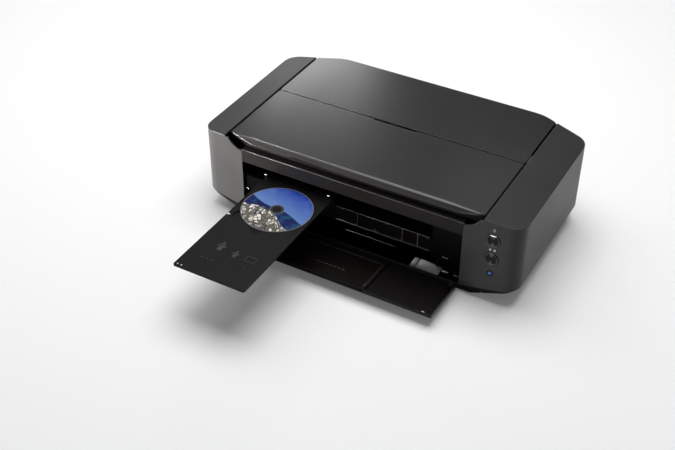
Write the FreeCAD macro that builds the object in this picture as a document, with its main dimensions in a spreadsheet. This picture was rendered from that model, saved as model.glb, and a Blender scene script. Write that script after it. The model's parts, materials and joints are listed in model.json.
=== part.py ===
"""Disc label printer: a wide inkjet printer whose front opening takes a disc tray.

Frame: +X to the right, +Y to the rear, +Z up, millimetres. The origin is on the surface that the
printer stands on, under the centre of the whole object with its disc tray in the loading position.
"""
import FreeCAD, Part
import math
import os
import re

import Sketcher

VECTOR = FreeCAD.Vector

# ---------------------------------------------------------------- driving dimensions
SIZES = {
    # casing
    "body_width": 590,
    "body_depth": 331,
    "body_height": 159,
    "wall": 2.5,
    "front_corner_radius": 24,
    "rear_sweep_width": 95,
    "rear_corner_drop": 42,
    "rear_corner_radius": 34,
    "rear_blend_radius": 70,
    "panel_thickness": 3,
    "panel_edge_radius": 1.2,
    "left_panel_width": 47,
    "right_panel_width": 68,
    "left_seam": 3,
    "right_seam": 4,
    "cross_seam": 1.6,
    "parting_depth": 26,
    "parting_width": 0.7,
    "fit_gap": 0.3,
    # lids
    "cover_split_gap": 9.5,
    "cover_front": 15,
    "lip_drop": 7.4,
    "lip_reach": 9,
    "lip_taper": 50,
    "lid_roll_width": 62,
    "lid_roll_drop": 1.1,
    "notch_left": -53,
    "notch_right": 30,
    "notch_depth": 4,
    "recess_start": -129,
    "recess_step": 12,
    "recess_length": 149,
    "recess_rise": 2.4,
    "top_hinge_inset": 2,
    "top_hinge_drop": 3.8,
    "rear_hinge_inset": 6,
    "rear_hinge_drop": 6.5,
    "rear_knuckle_inset": 30,
    "knuckle_radius": 2.4,
    "knuckle_width": 10,
    "knuckle_inset": 22,
    "hinge_pin_radius": 1.2,
    "hinge_pin_length": 18,
    "running_clearance": 0.05,
    "swing_margin": 15,
    "slide_half": 100,
    "slide_drop": 3.2,
    # front opening
    "left_front_width": 79,
    "right_front_width": 98,
    "opening_drop": 43,
    "fascia_height": 25,
    "fascia_recess": 15,
    "scoop_radius": 34,
    # base
    "foot_height": 4,
    "foot_radius": 9,
    "foot_inset": 130,
    "foot_front": 40,
    "foot_rear_inset": 46,
    "base_sweep_width": 79,
    "sweep_width": 95,
    "sweep_low": 16,
    "sweep_gap": 14,
    "rim_gap": 10.6,
    "sill_height": 8,
    # front cover
    "front_hinge_depth": 3,
    "front_hinge_height": 12,
    "front_cover_rise": 5,
    "front_cover_skin": 3,
    "front_cover_rim": 4.5,
    "front_cover_side_gap": 1.5,
    "front_rib_margin": 14,
    "hinge_arm_inset": 4,
    "hinge_arm_width": 2.6,
    "hinge_arm_reach": 27,
    "hinge_arm_height": 17,
    "extension_left_inset": 119.5,
    "extension_right_inset": 120.5,
    "extension_start": 24,
    "extension_thickness": 2.4,
    # disc tray and its guide
    "tray_reach": 267,
    "tray_engaged": 15,
    "tray_width": 131,
    "tray_inset": 21,
    "tray_drop": 62,
    "tray_thickness": 3,
    "disc_radius": 60,
    "disc_bore_radius": 7.5,
    "disc_thickness": 1.2,
    "disc_centre_reach": 68.4,
    "disc_side_gap": 0.4,
    "guide_rise": 5,
    "guide_length": 33,
    # paper path
    "paper_left_margin": 26,
    "paper_right_margin": 55,
    "ledge_depth": 6,
    "ledge_step": 6,
    "ledge_tall": 30,
    "alcove_depth": 34,
    "bay_gap": 15,
    "block_bottom": 45,
    "feed_roller_depth": 165,
    "feed_roller_radius": 8,
    "feed_shaft_radius": 4,
    "eject_depth": 45,
    "eject_roller_radius": 6,
    "eject_shaft_radius": 3,
    "star_radius": 5,
    "pinch_radius": 4,
    "lift_clearance": 0.4,
    "feed_teeth": 32,
    "eject_teeth": 24,
    "gear_width": 6,
    "idler_stub_radius": 3,
    # chassis
    "plate_thickness": 1.6,
    "left_plate_inset": 55,
    "right_plate_inset": 59,
    "plate_front": 25,
    "plate_rear_inset": 75,
    "plate_bottom": 30,
    "plate_drop": 11,
    "rod_offset": 6,
    "rod_rise": 28,
    "rod_radius": 4,
    "beam_offset": 4,
    "beam_drop": 17,
    "rail_gap": 11,
    "rail_rise": 7,
    # carriage and its drive
    "carriage_width": 92,
    "carriage_home_gap": 14,
    "carriage_front_gap": 32,
    "carriage_rear_gap": 13,
    "carriage_lift": 4,
    "carriage_drop": 2,
    "carriage_bottom": 6,
    "tank_width": 13,
    "tank_pitch": 14.4,
    "tank_rise": 5,
    "belt_offset": 12.5,
    "belt_rise": 14,
    "belt_width": 4,
    "belt_thickness": 1.2,
    "pulley_radius": 6,
    "pulley_bore_radius": 1.5,
    "idler_pulley_inset": 14,
    "drive_pulley_inset": 18,
    "motor_radius": 14,
    "motor_length": 24,
    "motor_boss_radius": 4,
    "head_half": 35,
    "head_inset": 3,
    "head_length": 41,
    "head_gap": 1.4,
    "maintenance_floor": 40,
    # electrics and rear wall
    "rear_wall_drop": 15,
    "vent_drop": 35,
    "vent_tall": 28,
    "vent_width": 3,
    "vent_pitch": 8,
    "supply_inset": 109,
    "supply_width": 90,
    "supply_length": 104,
    "supply_tall": 46,
    "supply_floor": 14,
    "inlet_length": 31,
    "inlet_inset": 44,
    "inlet_rise": 32,
    "board_inset": 125,
    "board_width": 210,
    "board_bottom": 24,
    "board_tall": 68,
    "board_offset": 13.4,
    "port_inset": 30,
    "port_rise": 22,
    "pad_inset": 145,
    "pad_gap": 30,
    "pad_rear_inset": 41,
    "pad_thickness": 10,
    # rear feed
    "ramp_inset": 91,
    "ramp_head_inset": 15,
    "ramp_head_drop": 11,
    "pickup_radius": 17,
    "pickup_offset": 10,
    "guide_half_width": 106,
    "guide_start_offset": 22,
    "guide_end_inset": 4,
    "guide_crest_drop": 9,
    # controls
    "button_inset": 47,
    "button_drop": 33,
    "button_pitch": 36,
    "lamp_pitch": 29.4,
    "button_radius": 12,
    "button_gap": 0.4,
    "button_proud": 1.2,
    "button_travel": 1.5,
    "light_half": 4.7,
    "light_rise": 9,
    "light_tall": 1.6,
    "panel_board_depth": 14,
}

# ---------------------------------------------------------------- places worked out from them
PLACES = {
    "front": "(tray_reach - body_depth) / 2",
    "half_width": "body_width / 2",
    "rear_flat_half": "half_width - rear_sweep_width",
    "rear_angle": "atan(rear_corner_drop / rear_sweep_width)",
    "panel_bottom": "body_height - panel_thickness",
    "left_seam_x": "left_panel_width - half_width",
    "right_seam_x": "half_width - right_panel_width",
    "top_cover_left": "left_seam_x + left_seam / 2",
    "top_cover_right": "right_seam_x - right_seam / 2",
    "cover_split": "feed_roller_depth + cover_split_gap",
    "top_hinge_depth": "cover_split - top_hinge_inset",
    "top_hinge_height": "body_height - top_hinge_drop",
    "rear_hinge_depth": "body_depth - rear_hinge_inset",
    "rear_hinge_height": "body_height - rear_hinge_drop",
    "rear_knuckle_x": "rear_flat_half - rear_knuckle_inset",
    "rear_top": "body_height - rear_wall_drop",
    "swing_half": "rear_flat_half + swing_margin",
    "slide_bottom": "panel_bottom - slide_drop",
    "opening_left": "left_front_width - half_width",
    "opening_right": "half_width - right_front_width",
    "opening_top": "body_height - opening_drop",
    "fascia_top": "opening_top + fascia_height",
    "base_flat_half": "half_width - base_sweep_width",
    "sweep_start": "half_width - sweep_width",
    "foot_side": "half_width - foot_inset",
    "foot_rear": "body_depth - foot_rear_inset",
    "cover_left": "opening_left + front_cover_side_gap",
    "cover_right": "opening_right - front_cover_side_gap",
    "front_rib_room": "cover_right - cover_left - 3.3 * front_rib_margin",
    "cover_length": "opening_top - front_hinge_height - fit_gap * 3",
    "extension_left": "cover_left + extension_left_inset",
    "extension_right": "cover_right - extension_right_inset",
    "paper_left": "opening_left + paper_left_margin",
    "paper_right": "opening_right - paper_right_margin",
    "paper_centre_x": "(paper_left + paper_right) / 2",
    "tray_level": "body_height - tray_drop",
    "tray_top": "tray_level + tray_thickness",
    "tray_centre_x": "paper_left + tray_inset + tray_width / 2",
    "tray_left": "tray_centre_x - tray_width / 2",
    "tray_right": "tray_centre_x + tray_width / 2",
    "disc_centre_y": "front - disc_centre_reach",
    "disc_floor": "tray_top - disc_thickness",
    "guide_bottom": "tray_level - guide_rise",
    "guide_top": "tray_top + guide_rise",
    "ledge_top": "guide_bottom - ledge_step",
    "ledge_bottom": "ledge_top - ledge_tall",
    "bay_height": "ledge_top - 2",
    "bay_depth": "feed_roller_depth - bay_gap",
    "roller_top": "tray_level - fit_gap",
    "feed_axis_z": "roller_top - feed_roller_radius",
    "eject_axis_z": "roller_top - eject_roller_radius",
    "upper_nip": "tray_top + lift_clearance",
    "gear_run": "feed_roller_depth - eject_depth",
    "eject_rise": "feed_roller_radius - eject_roller_radius",
    "mesh_teeth": "(feed_teeth + eject_teeth) / 2",
    "spare_teeth": "feed_teeth * feed_teeth - mesh_teeth * mesh_teeth",
    "gear_span": "gear_run * mesh_teeth",
    "gear_reach": "sqrt(gear_span * gear_span - spare_teeth * eject_rise * eject_rise)",
    "gear_module": "(gear_run * feed_teeth - gear_reach) / spare_teeth",
    "feed_pitch_radius": "gear_module * feed_teeth / 2",
    "eject_pitch_radius": "gear_module * eject_teeth / 2",
    "idler_reach": "feed_pitch_radius + eject_pitch_radius",
    "idler_depth": "feed_roller_depth - 2 * feed_pitch_radius",
    "left_plate_x": "left_plate_inset - half_width",
    "right_plate_x": "half_width - right_plate_inset",
    "plate_rear": "body_depth - plate_rear_inset",
    "plate_top": "body_height - plate_drop",
    "gear_left": "left_plate_x - plate_thickness - 4 - gear_width",
    "rod_depth": "feed_roller_depth + rod_offset",
    "rod_height": "tray_level + rod_rise",
    "belt_depth": "rod_depth + belt_offset",
    "belt_height": "rod_height + belt_rise",
    "beam_depth": "belt_depth + beam_offset",
    "beam_bottom": "rod_height - beam_drop",
    "carriage_half": "carriage_width / 2",
    "carriage_home_x": "right_plate_x - carriage_home_gap - carriage_half",
    "carriage_front": "eject_depth + carriage_front_gap",
    "carriage_rear": "rod_depth - carriage_rear_gap",
    "carriage_floor": "tray_top + carriage_lift",
    "carriage_top": "plate_top - carriage_drop",
    "tank_floor": "carriage_floor + carriage_bottom",
    "tank_top": "carriage_top + tank_rise",
    "head_front": "carriage_front + head_inset",
    "head_rear": "head_front + head_length",
    "head_face": "tray_top + head_gap",
    "rail_depth": "carriage_front - rail_gap",
    "rail_height": "rod_height + rail_rise",
    "idler_pulley_x": "left_plate_x + idler_pulley_inset",
    "drive_pulley_x": "right_plate_x - drive_pulley_inset",
    "platen_top": "tray_level - 0.7",
    "ramp_foot_depth": "body_depth - ramp_inset",
    "ramp_foot_height": "tray_top",
    "ramp_head_depth": "body_depth - ramp_head_inset",
    "ramp_head_height": "body_height - ramp_head_drop",
    "ramp_slope": "(ramp_head_height - ramp_foot_height) / (ramp_head_depth - ramp_foot_depth)",
    "ramp_angle": "atan(ramp_slope)",
    "pickup_depth": "ramp_foot_depth + pickup_offset - (pickup_radius + fit_gap) * sin(ramp_angle)",
    "pickup_lift": "(pickup_radius + fit_gap) * cos(ramp_angle)",
    "pickup_height": "ramp_foot_height + pickup_offset * ramp_slope + pickup_lift",
    "guide_start": "ramp_foot_depth + guide_start_offset",
    "guide_end": "ramp_head_depth - guide_end_inset",
    "guide_crest": "body_height - guide_crest_drop",
    "vent_top": "body_height - vent_drop",
    "supply_left": "half_width - supply_inset - supply_width",
    "supply_front": "body_depth - inlet_length - supply_length",
    "inlet_x": "supply_left + inlet_inset",
    "inlet_z": "supply_floor + inlet_rise",
    "board_left": "board_inset - half_width",
    "board_right": "board_left + board_width",
    "board_top": "board_bottom + board_tall",
    "port_x": "board_left + port_inset",
    "port_z": "board_bottom + port_rise",
    "button_x": "half_width - button_inset",
    "power_button_height": "body_height - button_drop",
    "resume_button_height": "power_button_height - button_pitch",
    "lamp_height": "resume_button_height - lamp_pitch",
    "base_rim": "lamp_height - rim_gap",
    "sweep_high": "base_rim - sweep_gap",
}

DOC = FreeCAD.newDocument("disc_label_printer")
SHEET = DOC.addObject("Spreadsheet::Sheet", "sizes")
for row, (alias, value) in enumerate(SIZES.items(), start=1):
    SHEET.set(f"A{row}", alias)
    SHEET.set(f"B{row}", str(value))
    SHEET.setAlias(f"B{row}", alias)
DOC.recompute()

NODES = []


# ---------------------------------------------------------------- helpers
def full(text):
    """An expression in the names of SIZES and PLACES, written out for setExpression."""

    def swap(match):
        word = match.group(0)
        if word in PLACES:
            return "(" + full(PLACES[word]) + ")"
        if word in SIZES:
            return "sizes." + word
        return word

    return re.sub(r"[a-z_]+[a-z0-9_]*", swap, str(text))


def number(text):
    """The value of an expression in millimetres or degrees."""
    found = DOC.sizes.evalExpression(full(text))
    return float(getattr(found, "Value", found))


def bind(thing, **expressions):
    """Tie properties to the sheet; a double underscore in a name stands for a dot."""
    for prop, text in expressions.items():
        thing.setExpression(prop.replace("__", "."), full(text))
    return thing


def place(thing, x="0", y="0", z="0"):
    """Tie the base of a Placement to the sheet."""
    return bind(thing, Placement__Base__x=x, Placement__Base__y=y, Placement__Base__z=z)


def box(name, x, y, z):
    """A block between pairs of coordinates."""
    thing = DOC.addObject("Part::Box", name)
    bind(thing, Length=f"({x[1]}) - ({x[0]})", Width=f"({y[1]}) - ({y[0]})", Height=f"({z[1]}) - ({z[0]})")
    return place(thing, x[0], y[0], z[0])


TURN = {
    "X": FreeCAD.Rotation(VECTOR(0, 1, 0), 90),
    "Y": FreeCAD.Rotation(VECTOR(1, 0, 0), -90),
    "Z": FreeCAD.Rotation(),
}


def rod(name, axis, radius, span, centre):
    """A cylinder along an axis; span is along it, centre the other two coordinates in order."""
    thing = DOC.addObject("Part::Cylinder", name)
    thing.Placement = FreeCAD.Placement(VECTOR(), TURN[axis])
    bind(thing, Radius=radius, Height=f"({span[1]}) - ({span[0]})")
    spots = {
        "X": (span[0], centre[0], centre[1]),
        "Y": (centre[0], span[0], centre[1]),
        "Z": (centre[0], centre[1], span[0]),
    }
    return place(thing, *spots[axis])


# a sketch plane, the sign of its normal along the world axis, and the world axes that it spans
PLANES = {"X": ("YZ_Plane", 1), "Y": ("XZ_Plane", -1), "Z": ("XY_Plane", 1)}


def prism(name, axis, points, span, rounds=None):
    """A padded sketch whose corners are bound to the sheet, its chosen corners rounded."""
    body = DOC.addObject("PartDesign::Body", name)
    sketch = body.newObject("Sketcher::SketchObject", name + "_sketch")
    plane, sign = PLANES[axis]
    planes = {item.Role: item for item in body.Origin.OriginFeatures}
    sketch.AttachmentSupport = [(planes[plane], "")]
    sketch.MapMode = "FlatFace"
    corners = [(number(u), number(v)) for u, v in points]
    count = len(corners)
    for index, corner in enumerate(corners):
        following = corners[(index + 1) % count]
        sketch.addGeometry(Part.LineSegment(VECTOR(*corner, 0), VECTOR(*following, 0)), False)
    for index in range(count):
        sketch.addConstraint(Sketcher.Constraint("Coincident", index, 2, (index + 1) % count, 1))
    for index, (u, v) in enumerate(points):
        for letter, kind, text, value in (
            ("u", "DistanceX", u, corners[index][0]),
            ("v", "DistanceY", v, corners[index][1]),
        ):
            label = f"{letter}{index}"
            rank = sketch.addConstraint(Sketcher.Constraint(kind, -1, 1, index, 1, value))
            sketch.renameConstraint(rank, label)
            sketch.setExpression("Constraints." + label, full(text))
    pad = body.newObject("PartDesign::Pad", name + "_pad")
    pad.Profile = sketch
    pad.Reversed = sign < 0
    bind(pad, Length=f"({span[1]}) - ({span[0]})")
    DOC.recompute()
    wide = {"X": lambda p: (p.y, p.z), "Y": lambda p: (p.x, p.z), "Z": lambda p: (p.x, p.y)}[axis]
    for group, (corner_ids, radius) in enumerate(rounds or []):
        wanted = [corners[index] for index in corner_ids]
        base = body.Tip
        names = []
        for rank, edge in enumerate(base.Shape.Edges, start=1):
            ends = [wide(vertex.Point) for vertex in edge.Vertexes]
            if any(all(math.dist(end, spot) < 1e-4 for end in ends) for spot in wanted):
                names.append(f"Edge{rank}")
        fillet = body.newObject("PartDesign::Fillet", f"{name}_round_{group}")
        fillet.Base = (base, names)
        bind(fillet, Radius=radius)
        body.Tip = fillet
        DOC.recompute()
    spot = {"X": (span[0], "0", "0"), "Y": ("0", span[0], "0"), "Z": ("0", "0", span[0])}[axis]
    return place(body, *spot)


def fuse(name, *pieces):
    """One solid from several that touch or overlap."""
    thing = DOC.addObject("Part::MultiFuse", name)
    thing.Shapes = list(pieces)
    return thing


def group(name, *pieces):
    """Separate solids kept together as one node."""
    thing = DOC.addObject("Part::Compound", name)
    thing.Links = list(pieces)
    return thing


def cut(name, base, *tools):
    """The base less its tools."""
    thing = DOC.addObject("Part::Cut", name)
    thing.Base = base
    thing.Tool = tools[0] if len(tools) == 1 else fuse(name + "_tools", *tools)
    return thing


def common(name, base, tool):
    """What two solids share."""
    thing = DOC.addObject("Part::Common", name)
    thing.Base = base
    thing.Tool = tool
    return thing


def fillet(name, base, radius, wanted, kind="Part::Fillet"):
    """Rounded or bevelled edges, those that the test picks by their two ends."""
    DOC.recompute()
    thing = DOC.addObject(kind, name)
    thing.Base = base
    size = number(radius)
    picked = []
    for rank, edge in enumerate(base.Shape.Edges, start=1):
        if wanted(edge):
            picked.append((rank, size, size))
    thing.Edges = picked
    return thing


def node(name, thing):
    """Declare a sub-part: its Label names its file."""
    thing.Label = name
    NODES.append(thing)
    return thing


def at_height(height):
    """Picks the edges that lie at one height."""
    level = number(height)
    return lambda edge: all(abs(v.Z - level) < 1e-4 for v in edge.Vertexes)


def at_depth(depth):
    """Picks the edges that lie at one depth."""
    level = number(depth)
    return lambda edge: all(abs(v.Y - level) < 1e-4 for v in edge.Vertexes)


def outline(name, inset, z):
    """The casing's plan, shrunk by an inset: round front corners, rear corners swept forward."""
    side = f"half_width - {inset}"
    rear = f"front + body_depth - {inset}"
    shoulder = f"rear_flat_half - {inset} * tan(rear_angle / 2)"
    waist = f"front + body_depth - rear_corner_drop - {inset} * tan((90 deg - rear_angle) / 2)"
    points = [
        (side, f"front + {inset}"),
        (side, waist),
        (shoulder, rear),
        (f"-({shoulder})", rear),
        (f"-({side})", waist),
        (f"-({side})", f"front + {inset}"),
    ]
    rounds = [
        ((0, 5), f"front_corner_radius - {inset}"),
        ((1, 4), f"rear_corner_radius - {inset}"),
        ((2, 3), f"rear_blend_radius - {inset}"),
    ]
    return prism(name, "Z", points, z, rounds)


def past(low, high, margin="20"):
    """A span that runs past both ends, for a cutting tool."""
    return (f"({low}) - {margin}", f"({high}) + {margin}")


WHOLE_DEPTH = past("front", "front + body_depth")
WHOLE_WIDTH = past("-half_width", "half_width")

# the left ends of the fixed knuckles of both lids
TOP_KNUCKLES = ("top_cover_left + knuckle_inset", "top_cover_right - knuckle_inset - knuckle_width")
REAR_KNUCKLES = ("-rear_knuckle_x", "rear_knuckle_x - knuckle_width")


# ---------------------------------------------------------------- casing
def sweep_tool(name):
    """All that lies under the casing's lower edge, which rises towards both sides."""
    points = [
        ("-half_width - 20", "-10"),
        ("half_width + 20", "-10"),
        ("half_width + 20", "sweep_high"),
        ("half_width", "sweep_high"),
        ("sweep_start", "sweep_low"),
        ("-sweep_start", "sweep_low"),
        ("-half_width", "sweep_high"),
        ("-half_width - 20", "sweep_high"),
    ]
    return prism(name, "Y", points, WHOLE_DEPTH)


def side_cover(side):
    """A wrap-round shell: front face beside the opening, side wall and rear corner."""
    name = f"{side}_side_cover"
    z = ("sweep_low - 2", "panel_bottom")
    shell = cut(name + "_shell", outline(name + "_outer", "0", z),
                outline(name + "_inner", "wall", past(*z)))
    if side == "left":
        edge, rear_edge, outer = "opening_left", "-rear_flat_half + 10", "-half_width - 5"
    else:
        edge, rear_edge, outer = "opening_right", "rear_flat_half - 10", "half_width + 5"
    plan = [
        (outer, "front - 5"),
        (edge, "front - 5"),
        (edge, "front + body_depth / 2"),
        (rear_edge, "front + body_depth / 2"),
        (rear_edge, "front + body_depth + 5"),
        (outer, "front + body_depth + 5"),
    ]
    region = prism(name + "_region", "Z", plan, z)
    half = common(name + "_half", shell, region)
    swing = ("-swing_half", "0") if side == "left" else ("0", "swing_half")
    tools = [
        sweep_tool(name + "_sweep"),
        scoop_tool(side),
        box(name + "_swing_room", swing, ("front + body_depth / 2", "front + body_depth + 5"),
            ("rear_top + 1.2", "panel_bottom + 1")),
        parting_line(side),
    ]
    if side == "right":
        tools += [
            rod(name + "_power_hole", "Y", "button_radius + button_gap", past("front", "front + wall", "1"),
                ("button_x", "power_button_height")),
            rod(name + "_resume_hole", "Y", "button_radius + button_gap",
                past("front", "front + wall", "1"),
                ("button_x", "resume_button_height")),
            rod(name + "_lamp_hole", "Y", "4.2", past("front", "front + wall", "1"),
                ("button_x", "lamp_height")),
        ]
    shaped = cut(name + "_cut", half, *tools)
    if side == "left":
        return shaped
    bosses = []
    for x in ("button_x - 13", "button_x + 15"):
        for z in ("lamp_height - 6", "power_button_height + 19"):
            bosses.append(rod(f"{name}_boss_{len(bosses)}", "Y", "2.6",
                              ("front + wall - 0.5", "front + panel_board_depth"), (x, z)))
    return fuse(name + "_bossed", shaped, *bosses)


def parting_line(side):
    """The fine groove down the side wall where the front moulding ends."""
    wide = ("-half_width - 1", "-half_width + parting_width") if side == "left" else (
        "half_width - parting_width", "half_width + 1")
    deep = ("front + parting_depth", "front + parting_depth + parting_width")
    return box(f"{side}_parting_line", wide, deep, past("sweep_low", "panel_bottom", "5"))


def scoop_tool(side):
    """The finger scoop that carries the recess under the top cover's lip out to the side panel."""
    name = f"{side}_scoop"
    centre = "opening_left + 4" if side == "left" else "opening_right - 4"
    depth = ("front - 1", "front + fascia_recess")
    return rod(name, "Y", "scoop_radius", depth, (centre, "fascia_top - 4 + scoop_radius"))


def casing():
    """The outer covers that do not open."""
    for side in ("left", "right"):
        node(f"{side}_side_cover", side_cover(side))
        seam = f"{side}_seam_x"
        inner = f"{seam} - left_seam / 2" if side == "left" else f"{seam} + right_seam / 2"
        span = ("-half_width - 5", inner) if side == "left" else (inner, "half_width + 5")
        name = f"{side}_top_panel"
        slab = common(
            name + "_slab",
            outline(name + "_plan", "0", ("panel_bottom", "body_height")),
            box(name + "_span", span, WHOLE_DEPTH, past("panel_bottom", "body_height")),
        )
        node(name, fillet(name + "_edge", slab, "panel_edge_radius", at_height("body_height")))


def base_case():
    """The bottom tub: flat floor, sides swept up under the side covers, ribs that carry the chassis."""
    inset = "(wall + fit_gap)"

    def boat(name, thickness, height):
        side = f"half_width - {inset} - {thickness}"
        points = [
            ("-base_flat_half", f"foot_height + {thickness}"),
            ("base_flat_half", f"foot_height + {thickness}"),
            (side, f"sweep_high - wall + {thickness}"),
            (side, height),
            (f"-({side})", height),
            (f"-({side})", f"sweep_high - wall + {thickness}"),
        ]
        section = prism(name + "_section", "Y", points, WHOLE_DEPTH)
        return common(name, section, outline(name + "_plan", f"({inset} + {thickness})",
                                             ("0", "base_rim + 20")))

    tub = cut("base_tub", boat("base_outside", "0", "base_rim"),
              boat("base_inside", "wall", "base_rim + 5"))
    mouth = box("base_mouth", ("opening_left", "opening_right"), ("front - 5", "front + 20"),
                ("sill_height", "base_rim + 5"))
    rear_mouth = box("base_rear_mouth", ("-rear_flat_half + 12", "rear_flat_half - 12"),
                     ("front + body_depth - 12", "front + body_depth + 5"), ("sweep_low", "base_rim + 5"))
    open_tub = cut("base_open_tub", tub, mouth, rear_mouth)
    floor = "foot_height + 1"
    pieces = [open_tub]
    for side, plate, width in (("left", "left_plate_x - plate_thickness", "plate_thickness"),
                               ("right", "right_plate_x", "plate_thickness")):
        pieces.append(box(f"base_{side}_rib", (f"{plate} - 1.5", f"{plate} + {width} + 1.5"),
                          ("front + 60", "front + plate_rear - 10"), ("foot_height + 16", "plate_bottom")))
    for index, depth in enumerate(("front + 84", "front + 132")):
        pieces.append(box(f"base_maintenance_rib_{index}", ("paper_right + 14", "right_plate_x - 10"),
                          (depth, f"{depth} + 3"), ("foot_height + 15", "maintenance_floor")))
        pieces.append(box(f"base_maintenance_web_{index}", ("paper_right + 14", "base_flat_half - 10"),
                          (depth, f"{depth} + 3"), (floor, "maintenance_floor")))
    for index, depth in enumerate(("front + supply_front + 12", "front + supply_front + 92")):
        pieces.append(box(f"base_supply_rib_{index}", ("supply_left + 6", "supply_left + supply_width"),
                          (depth, f"{depth} + 3"), (floor, "supply_floor")))
    for side, low, high in (("left", "opening_left - 6", "opening_left + 0.6"),
                            ("right", "opening_right - 0.6", "opening_right + 6")):
        pieces.append(box(f"base_{side}_ear", (low, high), ("front + 0.4", "front + 8.2"),
                          ("foot_height + 4", "front_hinge_height + 3.2")))
    solid = fuse("base_fused", *pieces)
    pins = rod("base_pin_bore", "X", "hinge_pin_radius", WHOLE_WIDTH,
               ("front + front_hinge_depth", "front_hinge_height"))
    knuckle_room = box("base_knuckle_room", ("opening_left + 0.6", "opening_right - 0.6"),
                       ("front - 1", "front + 8"), ("sill_height", "front_hinge_height + 8"))
    node("base_case", cut("base_drilled", solid, pins, knuckle_room))


def rear_panel():
    """The back wall between the side covers, with its ledge for the rear hinge and its sockets."""
    rear = "front + body_depth"
    edge = "rear_flat_half - 10 - fit_gap"
    wall_piece = box("rear_wall", (f"-({edge})", edge), (f"{rear} - wall", rear), ("sweep_low", "rear_top"))
    ledge = box("rear_ledge", (f"-({edge})", edge), (f"{rear} - 11", rear), ("rear_top - 3", "rear_top"))
    pieces = [wall_piece, ledge]
    for index, (x, z) in enumerate((("board_left + 8", "board_bottom + 8"),
                                    ("board_right - 8", "board_bottom + 8"),
                                    ("board_left + 8", "board_top - 8"),
                                    ("board_right - 8", "board_top - 8"))):
        pieces.append(rod(f"rear_boss_{index}", "Y", "3.5", (f"{rear} - board_offset", f"{rear} - 1"),
                          (x, z)))
    for index, x in enumerate(REAR_KNUCKLES):
        pieces.append(box(f"rear_post_{index}", (x, f"{x} + knuckle_width"),
                          ("front + rear_hinge_depth - knuckle_radius",
                           "front + rear_hinge_depth + knuckle_radius"),
                          ("rear_top - 2", "rear_hinge_height")))
        pieces.append(rod(f"rear_post_eye_{index}", "X", "knuckle_radius", (x, f"{x} + knuckle_width"),
                          ("front + rear_hinge_depth", "rear_hinge_height")))
    solid = fuse("rear_fused", *pieces)
    tools = [
        rod("rear_pin_bore", "X", "hinge_pin_radius", WHOLE_WIDTH,
            ("front + rear_hinge_depth", "rear_hinge_height")),
        box("rear_inlet_hole", ("inlet_x - 11 - fit_gap", "inlet_x + 11 + fit_gap"),
            past(f"{rear} - wall", rear, "1"),
            ("inlet_z - 7 - fit_gap", "inlet_z + 7 + fit_gap")),
        box("rear_port_hole", ("port_x - 6 - fit_gap", "port_x + 6 + fit_gap"),
            past(f"{rear} - wall", rear, "1"),
            ("port_z - 5.5 - fit_gap", "port_z + 5.5 + fit_gap")),
    ]
    for index in range(8):
        x = f"({index} - 7.5) * vent_pitch"
        tools.append(box(f"rear_vent_{index}", (x, f"{x} + vent_width"), past(f"{rear} - wall", rear, "1"),
                         ("vent_top - vent_tall", "vent_top")))
    node("rear_panel", cut("rear_cut", solid, *tools))


def fascia():
    """The bar over the opening and the recess above it, where fingers lift the top cover."""
    top, deep = "fascia_top", "fascia_recess"
    points = [
        ("front", "opening_top"),
        ("front", top),
        (f"front + {deep}", top),
        (f"front + {deep}", "plate_top + 3"),
        (f"front + {deep} + wall", "plate_top + 3"),
        (f"front + {deep} + wall", f"{top} - wall"),
        ("front + wall", f"{top} - wall"),
        ("front + wall", "opening_top"),
    ]
    low, high = "opening_left + fit_gap", "opening_right - fit_gap"
    bar = prism("fascia_profile", "X", points, (low, high), [((1,), "1.2"), ((0,), "0.8")])
    wing_depth = (f"front + {deep} + fit_gap", f"front + {deep} + wall")
    wings = [
        box("fascia_left_wing", ("left_seam_x - 6", "opening_left + 5"), wing_depth,
            (f"{top} - 12", "plate_top + 3")),
        box("fascia_right_wing", ("opening_right - 5", "right_seam_x + 4"), wing_depth,
            (f"{top} - 18", "plate_top + 3")),
    ]
    node("fascia_bar", fuse("fascia_fused", bar, *wings))


def upper_frame():
    """The moulded ring around the carriage bay that the top cover closes on."""
    low, high = "left_plate_x - 9", "right_plate_x + 5"
    bay_low, bay_high = "left_plate_x + 1", "carriage_home_x + carriage_half + 2"
    front, rear = "front + fascia_recess + wall + fit_gap", "front + top_hinge_depth - 0.5"
    side_z = ("plate_top", "panel_bottom - fit_gap")
    ring = cut(
        "upper_ring",
        box("upper_outer", (low, high), (front, rear), side_z),
        box("upper_inner", (bay_low, bay_high), (f"{front} + 8", f"{rear} - 9"), past(*side_z, "1")),
        box("upper_rear_step", (f"{low} - 1", f"{high} + 1"), (f"{rear} - 9.5", f"{rear} + 1"),
            ("plate_top + 3.5", "panel_bottom + 1")),
    )
    eyes = [ring]
    for index, x in enumerate(TOP_KNUCKLES):
        eyes.append(box(f"upper_post_{index}", (x, f"{x} + knuckle_width"),
                        ("front + top_hinge_depth - knuckle_radius",
                         "front + top_hinge_depth + knuckle_radius"),
                        ("plate_top + 1", "top_hinge_height")))
        eyes.append(rod(f"upper_eye_{index}", "X", "knuckle_radius", (x, f"{x} + knuckle_width"),
                        ("front + top_hinge_depth", "top_hinge_height")))
    bore = rod("upper_pin_bore", "X", "hinge_pin_radius", WHOLE_WIDTH,
               ("front + top_hinge_depth", "top_hinge_height"))
    node("upper_frame", cut("upper_drilled", fuse("upper_fused", *eyes), bore))


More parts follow.
